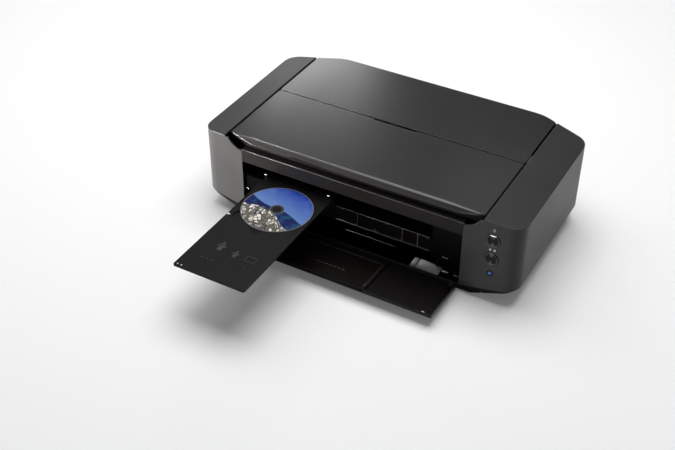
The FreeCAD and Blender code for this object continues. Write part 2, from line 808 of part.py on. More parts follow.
# ---------------------------------------------------------------- opening covers
def rolled_ends(name):
    """The lids' section across the printer: level, then rolled gently down at both ends."""
    low, high = "top_cover_left + lid_roll_width", "top_cover_right - lid_roll_width"
    tall = ("body_height - 20", "body_height")
    roll = "(lid_roll_width * lid_roll_width / lid_roll_drop + lid_roll_drop) / 2"
    pieces = [box(name + "_level", (low, high), WHOLE_DEPTH, tall)]
    for side, centre, span in (("left", low, ("top_cover_left", low)),
                               ("right", high, (high, "top_cover_right"))):
        drum = rod(f"{name}_{side}_drum", "Y", roll, WHOLE_DEPTH, (centre, f"body_height - {roll}"))
        end = box(f"{name}_{side}_room", span, WHOLE_DEPTH, tall)
        pieces.append(common(f"{name}_{side}_end", end, drum))
    return fuse(name, *pieces)


def top_cover():
    """The lid over the carriage bay: a plate whose front rolls down into a lip with a finger recess."""
    axis_y, axis_z = "front + top_hinge_depth", "top_hinge_height"
    lip = "front + cover_front"
    hem = "body_height - lip_drop - 0.6"
    points = [
        ("front + cover_split - cross_seam / 2", "body_height"),
        (lip, "body_height"),
        (f"{lip} - lip_reach", "body_height - lip_drop"),
        (f"{lip} - lip_reach + 2.4", hem),
        (f"{lip} + 2.5", "panel_bottom"),
        ("front + cover_split - cross_seam / 2", "panel_bottom"),
    ]
    plate = prism("top_plate", "X", points, ("top_cover_left", "top_cover_right"),
                  [((1,), "9"), ((0,), "0.8"), ((2,), "0.5")])
    tools = [
        box("top_notch", ("notch_left", "notch_right"),
            ("front + cover_split - cross_seam / 2 - notch_depth", "front + cover_split + 5"),
            past("panel_bottom", "body_height", "1")),
        prism("top_recess", "Y", [
            ("recess_start", f"{hem} - 2"),
            ("recess_start + recess_length", f"{hem} - 2"),
            ("recess_start + recess_length", hem),
            ("recess_start + recess_step", f"{hem} + recess_rise"),
            ("recess_start", hem),
        ], past(f"{lip} - lip_reach", lip, "1")),
    ]
    for side, end, inner in (("left", "top_cover_left", "top_cover_left + lip_taper"),
                             ("right", "top_cover_right", "top_cover_right - lip_taper")):
        tools.append(prism(f"top_{side}_taper", "Z", [
            (end, f"{lip} - lip_reach - 1"),
            (inner, f"{lip} - lip_reach - 1"),
            (inner, f"{lip} - lip_reach"),
            (end, lip),
        ], past("body_height - lip_drop", "body_height", "2")))
    knuckles = []
    for index, x in enumerate(TOP_KNUCKLES):
        tools.append(box(f"top_slot_{index}", (f"{x} - fit_gap", f"{x} + knuckle_width + fit_gap"),
                         (f"{axis_y} - knuckle_radius - 0.8", f"{axis_y} + 10"),
                         ("panel_bottom - 3", f"{axis_z} + knuckle_radius + 0.4")))
        beside = f"{x} + knuckle_width + fit_gap" if index == 0 else f"{x} - fit_gap - 9"
        knuckles.append(rod(f"top_knuckle_{index}", "X", "knuckle_radius", (beside, f"{beside} + 9"),
                            (axis_y, axis_z)))
    for index, x in enumerate(("top_cover_left + 30", "top_cover_left + 90", "top_cover_right - 92",
                               "top_cover_right - 32")):
        knuckles.append(box(f"top_rib_{index}", (x, f"{x} + 2"), (f"{lip} + 30", f"{axis_y} - 30"),
                            ("panel_bottom - 1.6", "panel_bottom + 1")))
    lid = cut("top_cut", common("top_rolled", plate, rolled_ends("top_roll")), *tools)
    solid = fuse("top_fused", lid, *knuckles)
    bore = rod("top_bore", "X", "hinge_pin_radius + running_clearance", WHOLE_WIDTH, (axis_y, axis_z))
    node("top_cover", cut("top_drilled", solid, bore))


def paper_support():
    """The rear lid, which swings back to hold the paper, and the plate that slides out of it."""
    axis_y, axis_z = "front + rear_hinge_depth", "rear_hinge_height"
    slab = common(
        "support_slab",
        outline("support_plan", "0", ("panel_bottom", "body_height")),
        box("support_span", ("top_cover_left", "top_cover_right"),
            ("front + cover_split + cross_seam / 2", "front + body_depth + 5"),
            past("panel_bottom", "body_height", "1")),
    )
    undercut = prism("support_undercut", "X", [
        ("front + cover_split + cross_seam / 2 - 1", "panel_bottom - 1"),
        ("front + cover_split + cross_seam / 2 + 4.6", "panel_bottom - 1"),
        ("front + cover_split + cross_seam / 2", "body_height - 0.6"),
        ("front + cover_split + cross_seam / 2 - 1", "body_height - 0.6"),
    ], WHOLE_WIDTH)
    bevelled = cut("support_bevelled", common("support_rolled", slab, rolled_ends("support_roll")),
                   undercut)
    rear = "front + body_depth"
    skirt_z = ("rear_top + 5", "panel_bottom + 0.5")
    skirt = common(
        "support_skirt",
        cut("support_band", outline("support_band_outer", "0", skirt_z),
            outline("support_band_inner", "wall", past(*skirt_z, "1"))),
        box("support_skirt_span", ("-swing_half + fit_gap", "swing_half - fit_gap"),
            ("front + body_depth / 2", f"{rear} + 5"), past(*skirt_z, "1")),
    )
    pieces = [bevelled, skirt]
    for index, x in enumerate(REAR_KNUCKLES):
        beside = f"{x} + knuckle_width + fit_gap" if index == 0 else f"{x} - fit_gap - 9"
        pieces.append(rod(f"support_knuckle_{index}", "X", "knuckle_radius", (beside, f"{beside} + 9"),
                          (axis_y, axis_z)))
        pieces.append(box(f"support_lug_{index}", (beside, f"{beside} + 9"),
                          (f"{axis_y} - knuckle_radius", f"{axis_y} + knuckle_radius"),
                          (axis_z, "panel_bottom + 0.5")))
    for index, x in enumerate(("-slide_half", "slide_half - 2")):
        side = f"{x} - 2" if index == 0 else f"{x} + 2"
        pieces.append(box(f"support_rail_{index}", (side, f"{side} + 2"),
                          ("front + cover_split + 14", "front + rear_hinge_depth - 16"),
                          ("slide_bottom - 1.2", "panel_bottom + 0.5")))
        inner = f"{x} - 2" if index == 0 else f"{x} - 1"
        pieces.append(box(f"support_lip_{index}", (inner, f"{inner} + 5"),
                          ("front + cover_split + 14", "front + rear_hinge_depth - 16"),
                          ("slide_bottom - 1.5", "slide_bottom - fit_gap")))
    tools = [rod("support_bore", "X", "hinge_pin_radius + running_clearance", WHOLE_WIDTH,
                 (axis_y, axis_z))]
    for index, x in enumerate(REAR_KNUCKLES):
        tools.append(box(f"support_gap_{index}", (f"{x} - fit_gap", f"{x} + knuckle_width + fit_gap"),
                         (f"{rear} - wall - 1", f"{rear} + 1"), ("rear_top", "panel_bottom")))
    node("paper_support", cut("support_cut", fuse("support_fused", *pieces), *tools))

    plate = box("extension_plate", ("-slide_half + fit_gap", "slide_half - fit_gap"),
                ("front + cover_split + 16", "front + rear_hinge_depth - 26"),
                ("slide_bottom", "panel_bottom - fit_gap"))
    grip = box("extension_grip", ("-28", "28"), ("front + cover_split + 20", "front + cover_split + 32"),
               ("slide_bottom - 1", "panel_bottom - fit_gap - 1"))
    node("paper_support_extension", cut("extension_cut", plate, grip))


def hinged_cover(thing):
    """Set a piece built level about the front hinge at the slope of the open cover."""
    thing.Placement = FreeCAD.Placement(VECTOR(), FreeCAD.Rotation(VECTOR(-1, 0, 0),
                                                                   number("front_cover_rise")))
    bind(thing, Placement__Rotation__Angle="front_cover_rise")
    return place(thing, "0", "front + front_hinge_depth", "front_hinge_height")


FRONT_RIBS = 14


def front_cover():
    """The cover that opens down to be the output tray, and the plate that slides out of it."""
    skin, rim, end = "front_cover_skin", "front_cover_rim", "-cover_length"
    pieces = [
        prism("front_skin", "X", [(end, f"-{skin}"), ("0", f"-{skin}"), ("0", "0"), (end, "0")],
              ("cover_left", "cover_right"), [((0,), "2")]),
        rod("front_barrel", "X", skin, ("cover_left", "cover_right"), ("0", "0")),
        box("front_rim", ("cover_left", "cover_right"), (end, f"{end} + wall"), ("-1", rim)),
        box("front_rim_left", ("cover_left", "cover_left + wall"), (end, "-9"), ("-1", rim)),
        box("front_rim_right", ("cover_right - wall", "cover_right"), (end, "-9"), ("-1", rim)),
    ]
    arm = "cover_right - hinge_arm_inset"
    pieces.append(prism("front_arm", "X", [
        ("-hinge_arm_reach", "-1"),
        ("-7", "-1"),
        ("-7", "6"),
        ("-11", "hinge_arm_height - 3"),
        ("-15", "hinge_arm_height"),
        ("-hinge_arm_reach + 5", "hinge_arm_height"),
        ("-hinge_arm_reach", "hinge_arm_height - 5"),
    ], (f"{arm} - hinge_arm_width", arm), [((4, 5), "2")]))
    for index in range(FRONT_RIBS):
        x = f"cover_left + front_rib_margin + {index} * front_rib_room / {FRONT_RIBS - 1}"
        pieces.append(box(f"front_rib_{index}", (x, f"{x} + 1.2"), (f"{end} + wall", "-14"),
                          ("-0.5", "0.6")))
    tools = [
        rod("front_bore", "X", "hinge_pin_radius + running_clearance", WHOLE_WIDTH, ("0", "0")),
        box("front_slot", ("extension_left - fit_gap", "extension_right + fit_gap"), (f"{end} - 1", "-14"),
            ("0.6", "0.6 + extension_thickness + 2 * fit_gap")),
    ]
    solid = cut("front_cut", fuse("front_fused", *pieces), *tools)
    node("front_cover", hinged_cover(solid))

    low, high = "extension_left", "extension_right"
    base = "0.6 + fit_gap"
    top = f"{base} + extension_thickness"
    plate = box("output_plate", (low, high), (f"{end} + 4", "-extension_start"), (base, top))
    tab = box("output_tab", (f"{high} - 12", high), (f"-extension_start - 2", "-extension_start + 12"),
              (base, top))
    grip = box("output_grip", ("extension_left + 56", "extension_left + 110"),
               (f"{end} + 38", f"{end} + 47"),
               (f"{top} - 1.2", f"{top} + 1"))
    step = box("output_step", (low, f"{low} + 116"), ("-extension_start - 8", "-extension_start + 1"),
               (f"{top} - 0.8", f"{top} + 1"))
    node("output_extension", hinged_cover(cut("output_cut", fuse("output_fused", plate, tab), grip, step)))


def output_bay():
    """The liner of the opening: floor, jambs and walls of the space that the sheets come out into."""
    low, high = "opening_left + fit_gap", "opening_right - fit_gap"
    inner_right = "paper_right"
    front_y, rear_y = "front + 8.5", "front + bay_depth"
    floor, top = "foot_height + wall + fit_gap", "bay_height"
    shell = cut(
        "bay_shell",
        box("bay_outer", (low, f"{inner_right} + wall"), (front_y, rear_y), (floor, top)),
        box("bay_inner", (f"{low} + wall", inner_right), (f"{front_y} - 5", f"{rear_y} - wall"),
            (f"{floor} + wall", f"{top} + 5")),
        box("bay_alcove_door", (f"{inner_right} - 1", f"{inner_right} + wall + 1"),
            (f"{front_y} - 5", "front + alcove_depth"),
            (f"{floor} + wall", "block_bottom")),
    )
    jamb = [
        box("bay_left_jamb", (low, f"{low} + wall"), (front_y, "front + 24"), (floor, "opening_top - 1")),
        box("bay_right_jamb", (f"{high} - wall", high), (front_y, "front + alcove_depth"),
            (floor, "opening_top - 1")),
        box("bay_alcove_floor", (inner_right, high), (front_y, "front + alcove_depth"),
            (floor, f"{floor} + wall")),
        box("bay_alcove_rear", (inner_right, high), ("front + alcove_depth - wall", "front + alcove_depth"),
            (floor, "block_bottom")),
        box("bay_block", (inner_right, high), ("front + 10", "front + 10 + wall"),
            ("block_bottom", "opening_top - 1")),
        box("bay_block_side", (inner_right, f"{inner_right} + wall"),
            ("front + 10", "front + alcove_depth"),
            ("block_bottom - 1", "opening_top - 1")),
        box("bay_block_floor", (inner_right, high), ("front + 10", "front + alcove_depth"),
            ("block_bottom", "block_bottom + wall")),
    ]
    ramp = prism("bay_floor_ramp", "X", [
        (f"{rear_y} - wall - 60", f"{floor} + wall - 0.5"),
        (f"{rear_y} - wall + 0.5", f"{floor} + wall - 0.5"),
        (f"{rear_y} - wall + 0.5", f"{floor} + wall + 14"),
    ], (f"{low} + 1", f"{inner_right} + 1"))
    node("output_bay", fuse("bay_fused", shell, ramp, *jamb))


# ---------------------------------------------------------------- disc tray and its guide
def disc_parts():
    """The flat tray that carries the disc in, the disc, and the guide that it slides through."""
    end = "front - tray_reach"
    lead = "front + tray_engaged"
    centre = ("tray_centre_x", "disc_centre_y")
    level = ("tray_level", "tray_top")
    corners = [("tray_left", end), ("tray_right", end), ("tray_right", lead), ("tray_left", lead)]
    plate = prism("tray_plate", "Z", corners, level, [((0, 1), "4"), ((2, 3), "2.5")])
    recess = rod("tray_recess", "Z", "disc_radius + disc_side_gap",
                 ("disc_floor - fit_gap / 3", "tray_top + 1"), centre)
    thumb = rod("tray_thumb", "Z", "13", ("tray_level + 0.8", "tray_top + 1"),
                ("tray_centre_x - 0.72 * disc_radius", "disc_centre_y - 0.72 * disc_radius"))
    hub = rod("tray_hub", "Z", "disc_bore_radius - running_clearance", ("tray_level + 1", "tray_top"),
              centre)
    slots = [
        box(f"tray_slot_{index}", (f"tray_left + {3 + 7 * index}", f"tray_left + {7 + 7 * index}"),
            (f"{end} + 4", f"{end} + 9"), past("tray_level", "tray_top", "1"))
        for index in range(2)
    ]
    node("disc_tray", fuse("tray_fused", cut("tray_cut", plate, recess, thumb, *slots), hub))

    blank = rod("disc_blank", "Z", "disc_radius", ("disc_floor", "tray_top"), centre)
    bore = rod("disc_bore", "Z", "disc_bore_radius", past("disc_floor", "tray_top", "1"), centre)
    node("disc", cut("disc_cut", blank, bore))

    rail_depth = ("front + 1", "front + 1 + guide_length")
    pieces = []
    for side, edge, sign in (("left", "tray_left", -1), ("right", "tray_right", 1)):
        out = "-" if sign < 0 else "+"
        inward = "+" if sign < 0 else "-"
        wall_low, wall_high = f"{edge} {out} fit_gap", f"{edge} {out} (fit_gap + wall)"
        lip = f"{edge} {inward} 4"
        span = (lambda a, b: (b, a)) if sign < 0 else (lambda a, b: (a, b))
        pieces.append(box(f"guide_{side}_wall", span(wall_low, wall_high), rail_depth,
                          ("guide_bottom", "guide_top")))
        pieces.append(box(f"guide_{side}_floor", span(lip, wall_high), rail_depth,
                          ("tray_level - fit_gap - 2", "tray_level - fit_gap")))
        pieces.append(box(f"guide_{side}_flange", span(lip, wall_high), rail_depth,
                          ("tray_top + fit_gap", "guide_top")))
    pieces.append(box("guide_bridge", ("tray_left - 2", "tray_right + 2"), ("front + 1", "front + 5"),
                      ("tray_top + 1.5", "guide_top")))
    node("disc_guide", fuse("guide_fused", *pieces))


# ---------------------------------------------------------------- chassis
AXES = {
    "feed": ("front + feed_roller_depth", "feed_axis_z"),
    "idler": ("front + idler_depth", "feed_axis_z"),
    "eject": ("front + eject_depth", "eject_axis_z"),
    "star": ("front + eject_depth", "upper_nip + star_radius"),
    "pinch": ("front + feed_roller_depth", "upper_nip + pinch_radius"),
    "rod": ("front + rod_depth", "rod_height"),
    "pickup": ("front + pickup_depth", "pickup_height"),
}


def chassis():
    """Sheet steel side plates, the rear beam, the front rail and the rod that the carriage runs on."""
    windows = [
        [("front + 60", "plate_bottom + 8"), ("front + 96", "plate_bottom + 8"),
         ("front + 96", "plate_bottom + 34"),
         ("front + 60", "plate_bottom + 34")],
        [("front + 196", "plate_bottom + 10"), ("front + 240", "plate_bottom + 10"),
         ("front + 240", "plate_bottom + 52"), ("front + 196", "plate_bottom + 52")],
    ]
    profile = [
        ("front + 60", "plate_bottom"),
        ("front + plate_rear", "plate_bottom"),
        ("front + plate_rear", "plate_top - 20"),
        ("front + plate_rear - 50", "plate_top"),
        ("front + plate_front", "plate_top"),
        ("front + plate_front", "plate_bottom + 30"),
    ]
    for side, span in (("left", ("left_plate_x - plate_thickness", "left_plate_x")),
                       ("right", ("right_plate_x", "right_plate_x + plate_thickness"))):
        name = f"chassis_{side}_plate"
        plate = prism(name + "_profile", "X", profile, span, [((0, 1, 5), "6")])
        through = past(*span, "2")
        tools = [prism(f"{name}_window_{index}", "X", window, through, [((0, 1, 2, 3), "4")])
                 for index, window in enumerate(windows)]
        for axis, radius in (("feed", "feed_shaft_radius"), ("eject", "eject_shaft_radius"),
                             ("pickup", "feed_shaft_radius")):
            tools.append(rod(f"{name}_{axis}_hole", "X", f"{radius} + running_clearance", through,
                             AXES[axis]))
        tools.append(rod(f"{name}_rod_hole", "X", "rod_radius", through, AXES["rod"]))
        body = cut(name + "_cut", plate, *tools)
        if side == "left":
            stub = rod("idler_stub", "X", "idler_stub_radius", ("gear_left - 1", span[1]), AXES["idler"])
            body = fuse(name + "_fused", body, stub)
        node(name, body)

    width = ("left_plate_x", "right_plate_x")
    back = "front + beam_depth"
    beam = prism("beam_profile", "X", [
        (back, "beam_bottom"),
        (f"{back} + 10", "beam_bottom"),
        (f"{back} + 10", "beam_bottom + plate_thickness"),
        (f"{back} + plate_thickness", "beam_bottom + plate_thickness"),
        (f"{back} + plate_thickness", "plate_top - 3 - plate_thickness"),
        (f"{back} + 12", "plate_top - 3 - plate_thickness"),
        (f"{back} + 12", "plate_top - 3"),
        (back, "plate_top - 3"),
    ], width)
    idler_pin = rod("beam_idler_pin", "Y", "pulley_bore_radius", ("front + belt_depth - 4", f"{back} + 1"),
                    ("idler_pulley_x", "belt_height"))
    relief = rod("beam_motor_hole", "Y", "motor_boss_radius + fit_gap",
                 past(back, f"{back} + plate_thickness", "1"),
                 ("drive_pulley_x", "belt_height"))
    seat = box("beam_motor_seat", ("drive_pulley_x - motor_radius - 0.3",
                                   "drive_pulley_x + motor_radius + 0.3"),
               (f"{back} + plate_thickness", f"{back} + 14"), ("beam_bottom + 3", "plate_top"))
    node("chassis_beam", fuse("beam_fused", cut("beam_cut", beam, relief, seat), idler_pin))

    rail = prism("rail_profile", "X", [
        ("front + rail_depth", "rail_height - 20"),
        ("front + rail_depth", "rail_height"),
        ("front + rail_depth + 6", "rail_height"),
        ("front + rail_depth + 6", "rail_height - plate_thickness"),
        ("front + rail_depth + plate_thickness", "rail_height - plate_thickness"),
        ("front + rail_depth + plate_thickness", "rail_height - 20"),
    ], width)
    node("front_rail", rail)
    node("guide_rod", rod("rod_bar", "X", "rod_radius",
                          ("left_plate_x - plate_thickness", "right_plate_x + plate_thickness"),
                          AXES["rod"]))


# ---------------------------------------------------------------- carriage and its drive
def tank_x(index):
    """The middle of an ink tank's place in the carriage at home."""
    return f"carriage_home_x + ({index} - 2.5) * tank_pitch"


def carriage():
    """The carriage that shuttles along the rod, its six tanks and the print head under them."""
    low, high = "carriage_home_x - carriage_half", "carriage_home_x + carriage_half"
    front, rear = "front + carriage_front", "front + carriage_rear"
    side = [
        (front, "carriage_floor + 6"),
        (f"{front} + 8", "carriage_floor"),
        (f"{rear} - 12", "carriage_floor"),
        (rear, "carriage_floor + 10"),
        (rear, "carriage_top"),
        (f"{front} + 6", "carriage_top"),
        (front, "carriage_top - 8"),
    ]
    shell = prism("carriage_shell", "X", side, (low, high))
    lug = prism("carriage_lug", "X", [
        (f"{rear} - 1", "rod_height - 9"),
        ("front + rod_depth + 8", "rod_height - 9"),
        ("front + rod_depth + 8", "rod_height + 7"),
        (f"{rear} - 1", "rod_height + 12"),
    ], (f"{low} + 6", f"{high} - 6"), [((1, 2), "3")])
    hook = box("carriage_hook", (f"{low} + 16", f"{high} - 16"), ("front + rail_depth - 2", f"{front} + 8"),
               ("rail_height + fit_gap", "rail_height + fit_gap + 3"))
    belt_z = "belt_height - pulley_radius - belt_thickness / 2"
    clamp = [
        box("clamp_lower", ("carriage_home_x - 9", "carriage_home_x + 9"),
            ("front + rod_depth + 2", "front + belt_depth + belt_width / 2 - 0.5"),
            (f"{belt_z} - 3", f"{belt_z} - belt_thickness / 2 - fit_gap")),
        box("clamp_upper", ("carriage_home_x - 9", "carriage_home_x + 9"),
            ("front + rod_depth + 7", "front + belt_depth + belt_width / 2 - 0.5"),
            (f"{belt_z} + belt_thickness / 2 + fit_gap", f"{belt_z} + 3")),
        box("clamp_back", ("carriage_home_x - 9", "carriage_home_x + 9"),
            ("front + rod_depth + 7", "front + belt_depth - belt_width / 2 - fit_gap"),
            (f"{belt_z} - 3", f"{belt_z} + 3")),
    ]
    solid = fuse("carriage_fused", shell, lug, hook, *clamp)
    tools = [
        rod("carriage_bore", "X", "rod_radius + running_clearance", WHOLE_WIDTH, AXES["rod"]),
        box("carriage_head_room", ("carriage_home_x - head_half", "carriage_home_x + head_half"),
            ("front + head_front", "front + head_rear"), ("carriage_floor - 1", "tank_floor + 1")),
    ]
    for index in range(6):
        middle = tank_x(index)
        tools.append(box(f"tank_pocket_{index}", (f"{middle} - tank_width / 2 - 0.2",
                                                  f"{middle} + tank_width / 2 + 0.2"),
                         (f"{front} + 3", f"{rear} - 8"), ("tank_floor", "carriage_top + 1")))
    node("carriage", cut("carriage_cut", solid, *tools))

    head = box("head_body", ("carriage_home_x - head_half", "carriage_home_x + head_half"),
               ("front + head_front", "front + head_rear"), ("head_face + 1", "tank_floor"))
    nozzle = box("head_nozzle", ("carriage_home_x - head_half + 8", "carriage_home_x + head_half - 8"),
                 ("front + head_front + 6", "front + head_rear - 6"), ("head_face", "head_face + 1.5"))
    node("print_head", fuse("head_fused", head, nozzle))

    for index in range(6):
        middle = tank_x(index)
        deep = (f"{front} + 3.2", f"{rear} - 8.2")
        body = prism(f"tank_body_{index}", "X", [
            (deep[0], "tank_floor"),
            (deep[1], "tank_floor"),
            (deep[1], "tank_top"),
            (f"{deep[0]} + 10", "tank_top"),
            (deep[0], "tank_top - 9"),
        ], (f"{middle} - tank_width / 2", f"{middle} + tank_width / 2"), [((2, 3), "2")])
        node(f"ink_tank_{index + 1}", body)


def pulley(name, x, bore):
    """A flanged belt pulley that turns about a line along Y."""
    low, high = "front + belt_depth - belt_width / 2 - 0.3", "front + belt_depth + belt_width / 2 + 0.3"
    centre = (x, "belt_height")
    drum = rod(name + "_drum", "Y", "pulley_radius", (low, high), centre)
    flanges = [
        rod(name + "_front_flange", "Y", "pulley_radius + 2.4", (f"{low} - 0.8", low), centre),
        rod(name + "_rear_flange", "Y", "pulley_radius + 2.4", (high, f"{high} + 0.8"), centre),
    ]
    hole = rod(name + "_bore", "Y", bore, past(low, high, "2"), centre)
    return cut(name + "_cut", fuse(name + "_fused", drum, *flanges), hole)


def belt_drive():
    """The toothed belt along the rear beam, its pulleys and the motor behind the beam."""
    def loop(name, radius, depth):
        ends = [rod(f"{name}_{side}", "Y", radius, depth, (x, "belt_height"))
                for side, x in (("left", "idler_pulley_x"), ("right", "drive_pulley_x"))]
        middle = box(f"{name}_middle", ("idler_pulley_x", "drive_pulley_x"), depth,
                     (f"belt_height - {radius}", f"belt_height + {radius}"))
        return fuse(name, middle, *ends)

    depth = ("front + belt_depth - belt_width / 2", "front + belt_depth + belt_width / 2")
    inner = "(pulley_radius + running_clearance)"
    node("carriage_belt", cut("belt_cut", loop("belt_outer", "(pulley_radius + belt_thickness)", depth),
                              loop("belt_inner", inner, past(*depth, "1"))))
    node("drive_pulley", pulley("drive", "drive_pulley_x", "pulley_bore_radius + running_clearance"))
    node("idler_pulley", pulley("idle", "idler_pulley_x", "pulley_bore_radius + running_clearance"))
    face = "front + beam_depth + plate_thickness"
    centre = ("drive_pulley_x", "belt_height")
    can = fillet("motor_can_bevel", rod("motor_can", "Y", "motor_radius", (face, f"{face} + motor_length"),
                                        centre),
                 "1.2",
                         at_depth(f"{face} + motor_length"),
                 "Part::Chamfer")
    shaft = rod("motor_shaft", "Y", "pulley_bore_radius", ("front + belt_depth - 4", f"{face} + 1"), centre)
    boss = rod("motor_boss", "Y", "motor_boss_radius", (f"{face} - 1", f"{face} + 1"), centre)
    node("carriage_motor", fuse("motor_fused", can, shaft, boss))


# ---------------------------------------------------------------- paper path
def gear(name, axis, teeth, phase, bore):
    """A spur gear across X: straight-flanked teeth round a rim, its first tooth turned by a phase."""
    module = number("gear_module")
    pitch_radius = module * teeth / 2
    root, tip = pitch_radius - 1.15 * module, pitch_radius + 0.95 * module
    step = 360 / teeth
    corners = []
    for tooth in range(teeth):
        middle = phase + tooth * step
        for radius, offset in ((root, -0.34), (tip, -0.11), (tip, 0.11), (root, 0.34)):
            angle = math.radians(middle + offset * step)
            corners.append(VECTOR(0, radius * math.cos(angle), radius * math.sin(angle)))
    face = Part.Face(Part.makePolygon(corners + corners[:1]))
    solid = face.extrude(VECTOR(number("gear_width"), 0, 0))
    hole = Part.makeCylinder(bore, number("gear_width") + 2, VECTOR(-1, 0, 0), VECTOR(1, 0, 0))
    thing = DOC.addObject("Part::Feature", name)
    thing.Shape = solid.cut(hole)
    return place(thing, "gear_left", *AXES[axis])


ROLLS = 4


def rollers():
    """The driven rollers, their gear train, and the free rollers that press on a sheet from above."""
    feed_teeth, eject_teeth = round(number("feed_teeth")), round(number("eject_teeth"))
    half_step = 180 / feed_teeth
    slant = math.degrees(math.asin(number("eject_rise") / number("idler_reach")))
    # the idler has a tooth straight to the rear; at the eject gear its nearest tooth is off by the slant
    meeting = -slant - slant * feed_teeth / eject_teeth
    span = ("gear_left - 1", "right_plate_x + plate_thickness + 3")
    feed = fuse(
        "feed_fused",
        rod("feed_shaft", "X", "feed_shaft_radius", span, AXES["feed"]),
        rod("feed_sleeve", "X", "feed_roller_radius", ("paper_left - 6", "paper_right + 6"), AXES["feed"]),
        gear("feed_gear", "feed", feed_teeth, half_step, number("feed_shaft_radius") - 0.5),
    )
    node("feed_roller", feed)
    node("idler_gear", gear("idler_wheel", "idler", feed_teeth, 0,
                            number("idler_stub_radius + running_clearance")))
    rings = []
    for index in range(ROLLS):
        x = f"paper_left + 18 + {index} * (paper_right - paper_left - 46) / {ROLLS - 1}"
        rings.append(rod(f"eject_ring_{index}", "X", "eject_roller_radius", (x, f"{x} + 10"),
                         AXES["eject"]))
    node("eject_roller", fuse(
        "eject_fused",
        rod("eject_shaft", "X", "eject_shaft_radius", span, AXES["eject"]),
        gear("eject_gear", "eject", eject_teeth, meeting + 180 / eject_teeth,
             number("eject_shaft_radius") - 0.5),
        *rings,
    ))

    axle = rod("pinch_axle", "X", "1.5", ("paper_left - 4", "paper_right + 4"), AXES["pinch"])
    rolls, arms, eyes = [], [], []
    for index in range(ROLLS):
        x = f"paper_left + 10 + {index} * (paper_right - paper_left - 50) / {ROLLS - 1}"
        rolls.append(rod(f"pinch_roll_{index}", "X", "pinch_radius", (x, f"{x} + 30"), AXES["pinch"]))
        arms.append(box(f"pinch_arm_{index}", (f"{x} - 8", f"{x} - 3"),
                        ("front + feed_roller_depth - 3.6", "front + feed_roller_depth + 8"),
                        ("upper_nip + 0.8", "upper_nip + 2 * pinch_radius")))
    node("pinch_rollers", fuse("pinch_fused", axle, *rolls))
    beam = box("pinch_beam", ("left_plate_x", "right_plate_x"),
               ("front + feed_roller_depth + 6", "front + beam_depth"),
               ("upper_nip + 0.8", "upper_nip + 10"))
    bore = rod("pinch_bore", "X", "1.5 + running_clearance", WHOLE_WIDTH, AXES["pinch"])
    node("pinch_holder", cut("pinch_cut", fuse("pinch_holder_fused", beam, *arms), bore))


STAR_WHEELS = 6


def star_wheel(name, x):
    """A thin toothed wheel that holds a printed sheet down without marking it."""
    points = []
    count = 10
    outer, inner = number("star_radius"), number("star_radius") - 1.2
    for index in range(2 * count):
        radius = inner if index % 2 else outer
        angle = math.pi * index / count
        points.append(VECTOR(0, radius * math.sin(angle), radius * math.cos(angle)))
    wheel = DOC.addObject("Part::Feature", name)
    wheel.Shape = Part.Face(Part.makePolygon(points + points[:1])).extrude(VECTOR(1.2, 0, 0))
    return place(wheel, x, *AXES["star"])


def stars():
    """The star wheels over the eject roller and the bridge that holds their axle."""
    wheels, tabs = [], []
    for index in range(STAR_WHEELS):
        x = f"paper_left + 20 + {index} * (paper_right - paper_left - 40) / {STAR_WHEELS - 1}"
        wheels.append(star_wheel(f"star_{index}", x))
        tabs.append(box(f"star_tab_{index}", (f"{x} + 6", f"{x} + 9"),
                        ("front + eject_depth - 3", "front + eject_depth + 3"),
                        ("upper_nip + 1.5", "upper_nip + 2 * star_radius + 1")))
    axle = rod("star_axle", "X", "1", ("paper_left + 10", "paper_right - 6"), AXES["star"])
    node("star_wheels", fuse("star_fused", axle, *wheels))
    low, high = "upper_nip + 4", "upper_nip + 2 * star_radius + 0.6"
    bridge = prism("star_bridge", "X", [
        ("front + eject_depth - 9", low),
        ("front + eject_depth - 7", low),
        ("front + eject_depth - 7", high),
        ("front + eject_depth + 7", high),
        ("front + eject_depth + 7", low),
        ("front + eject_depth + 9", low),
        ("front + eject_depth + 9", f"{high} + 2.4"),
        ("front + eject_depth - 9", f"{high} + 2.4"),
    ], ("left_plate_x", "right_plate_x"))
    bore = rod("star_bore", "X", "1 + running_clearance", WHOLE_WIDTH, AXES["star"])
    node("star_wheel_holder", cut("star_cut", fuse("star_holder_fused", bridge, *tabs), bore))


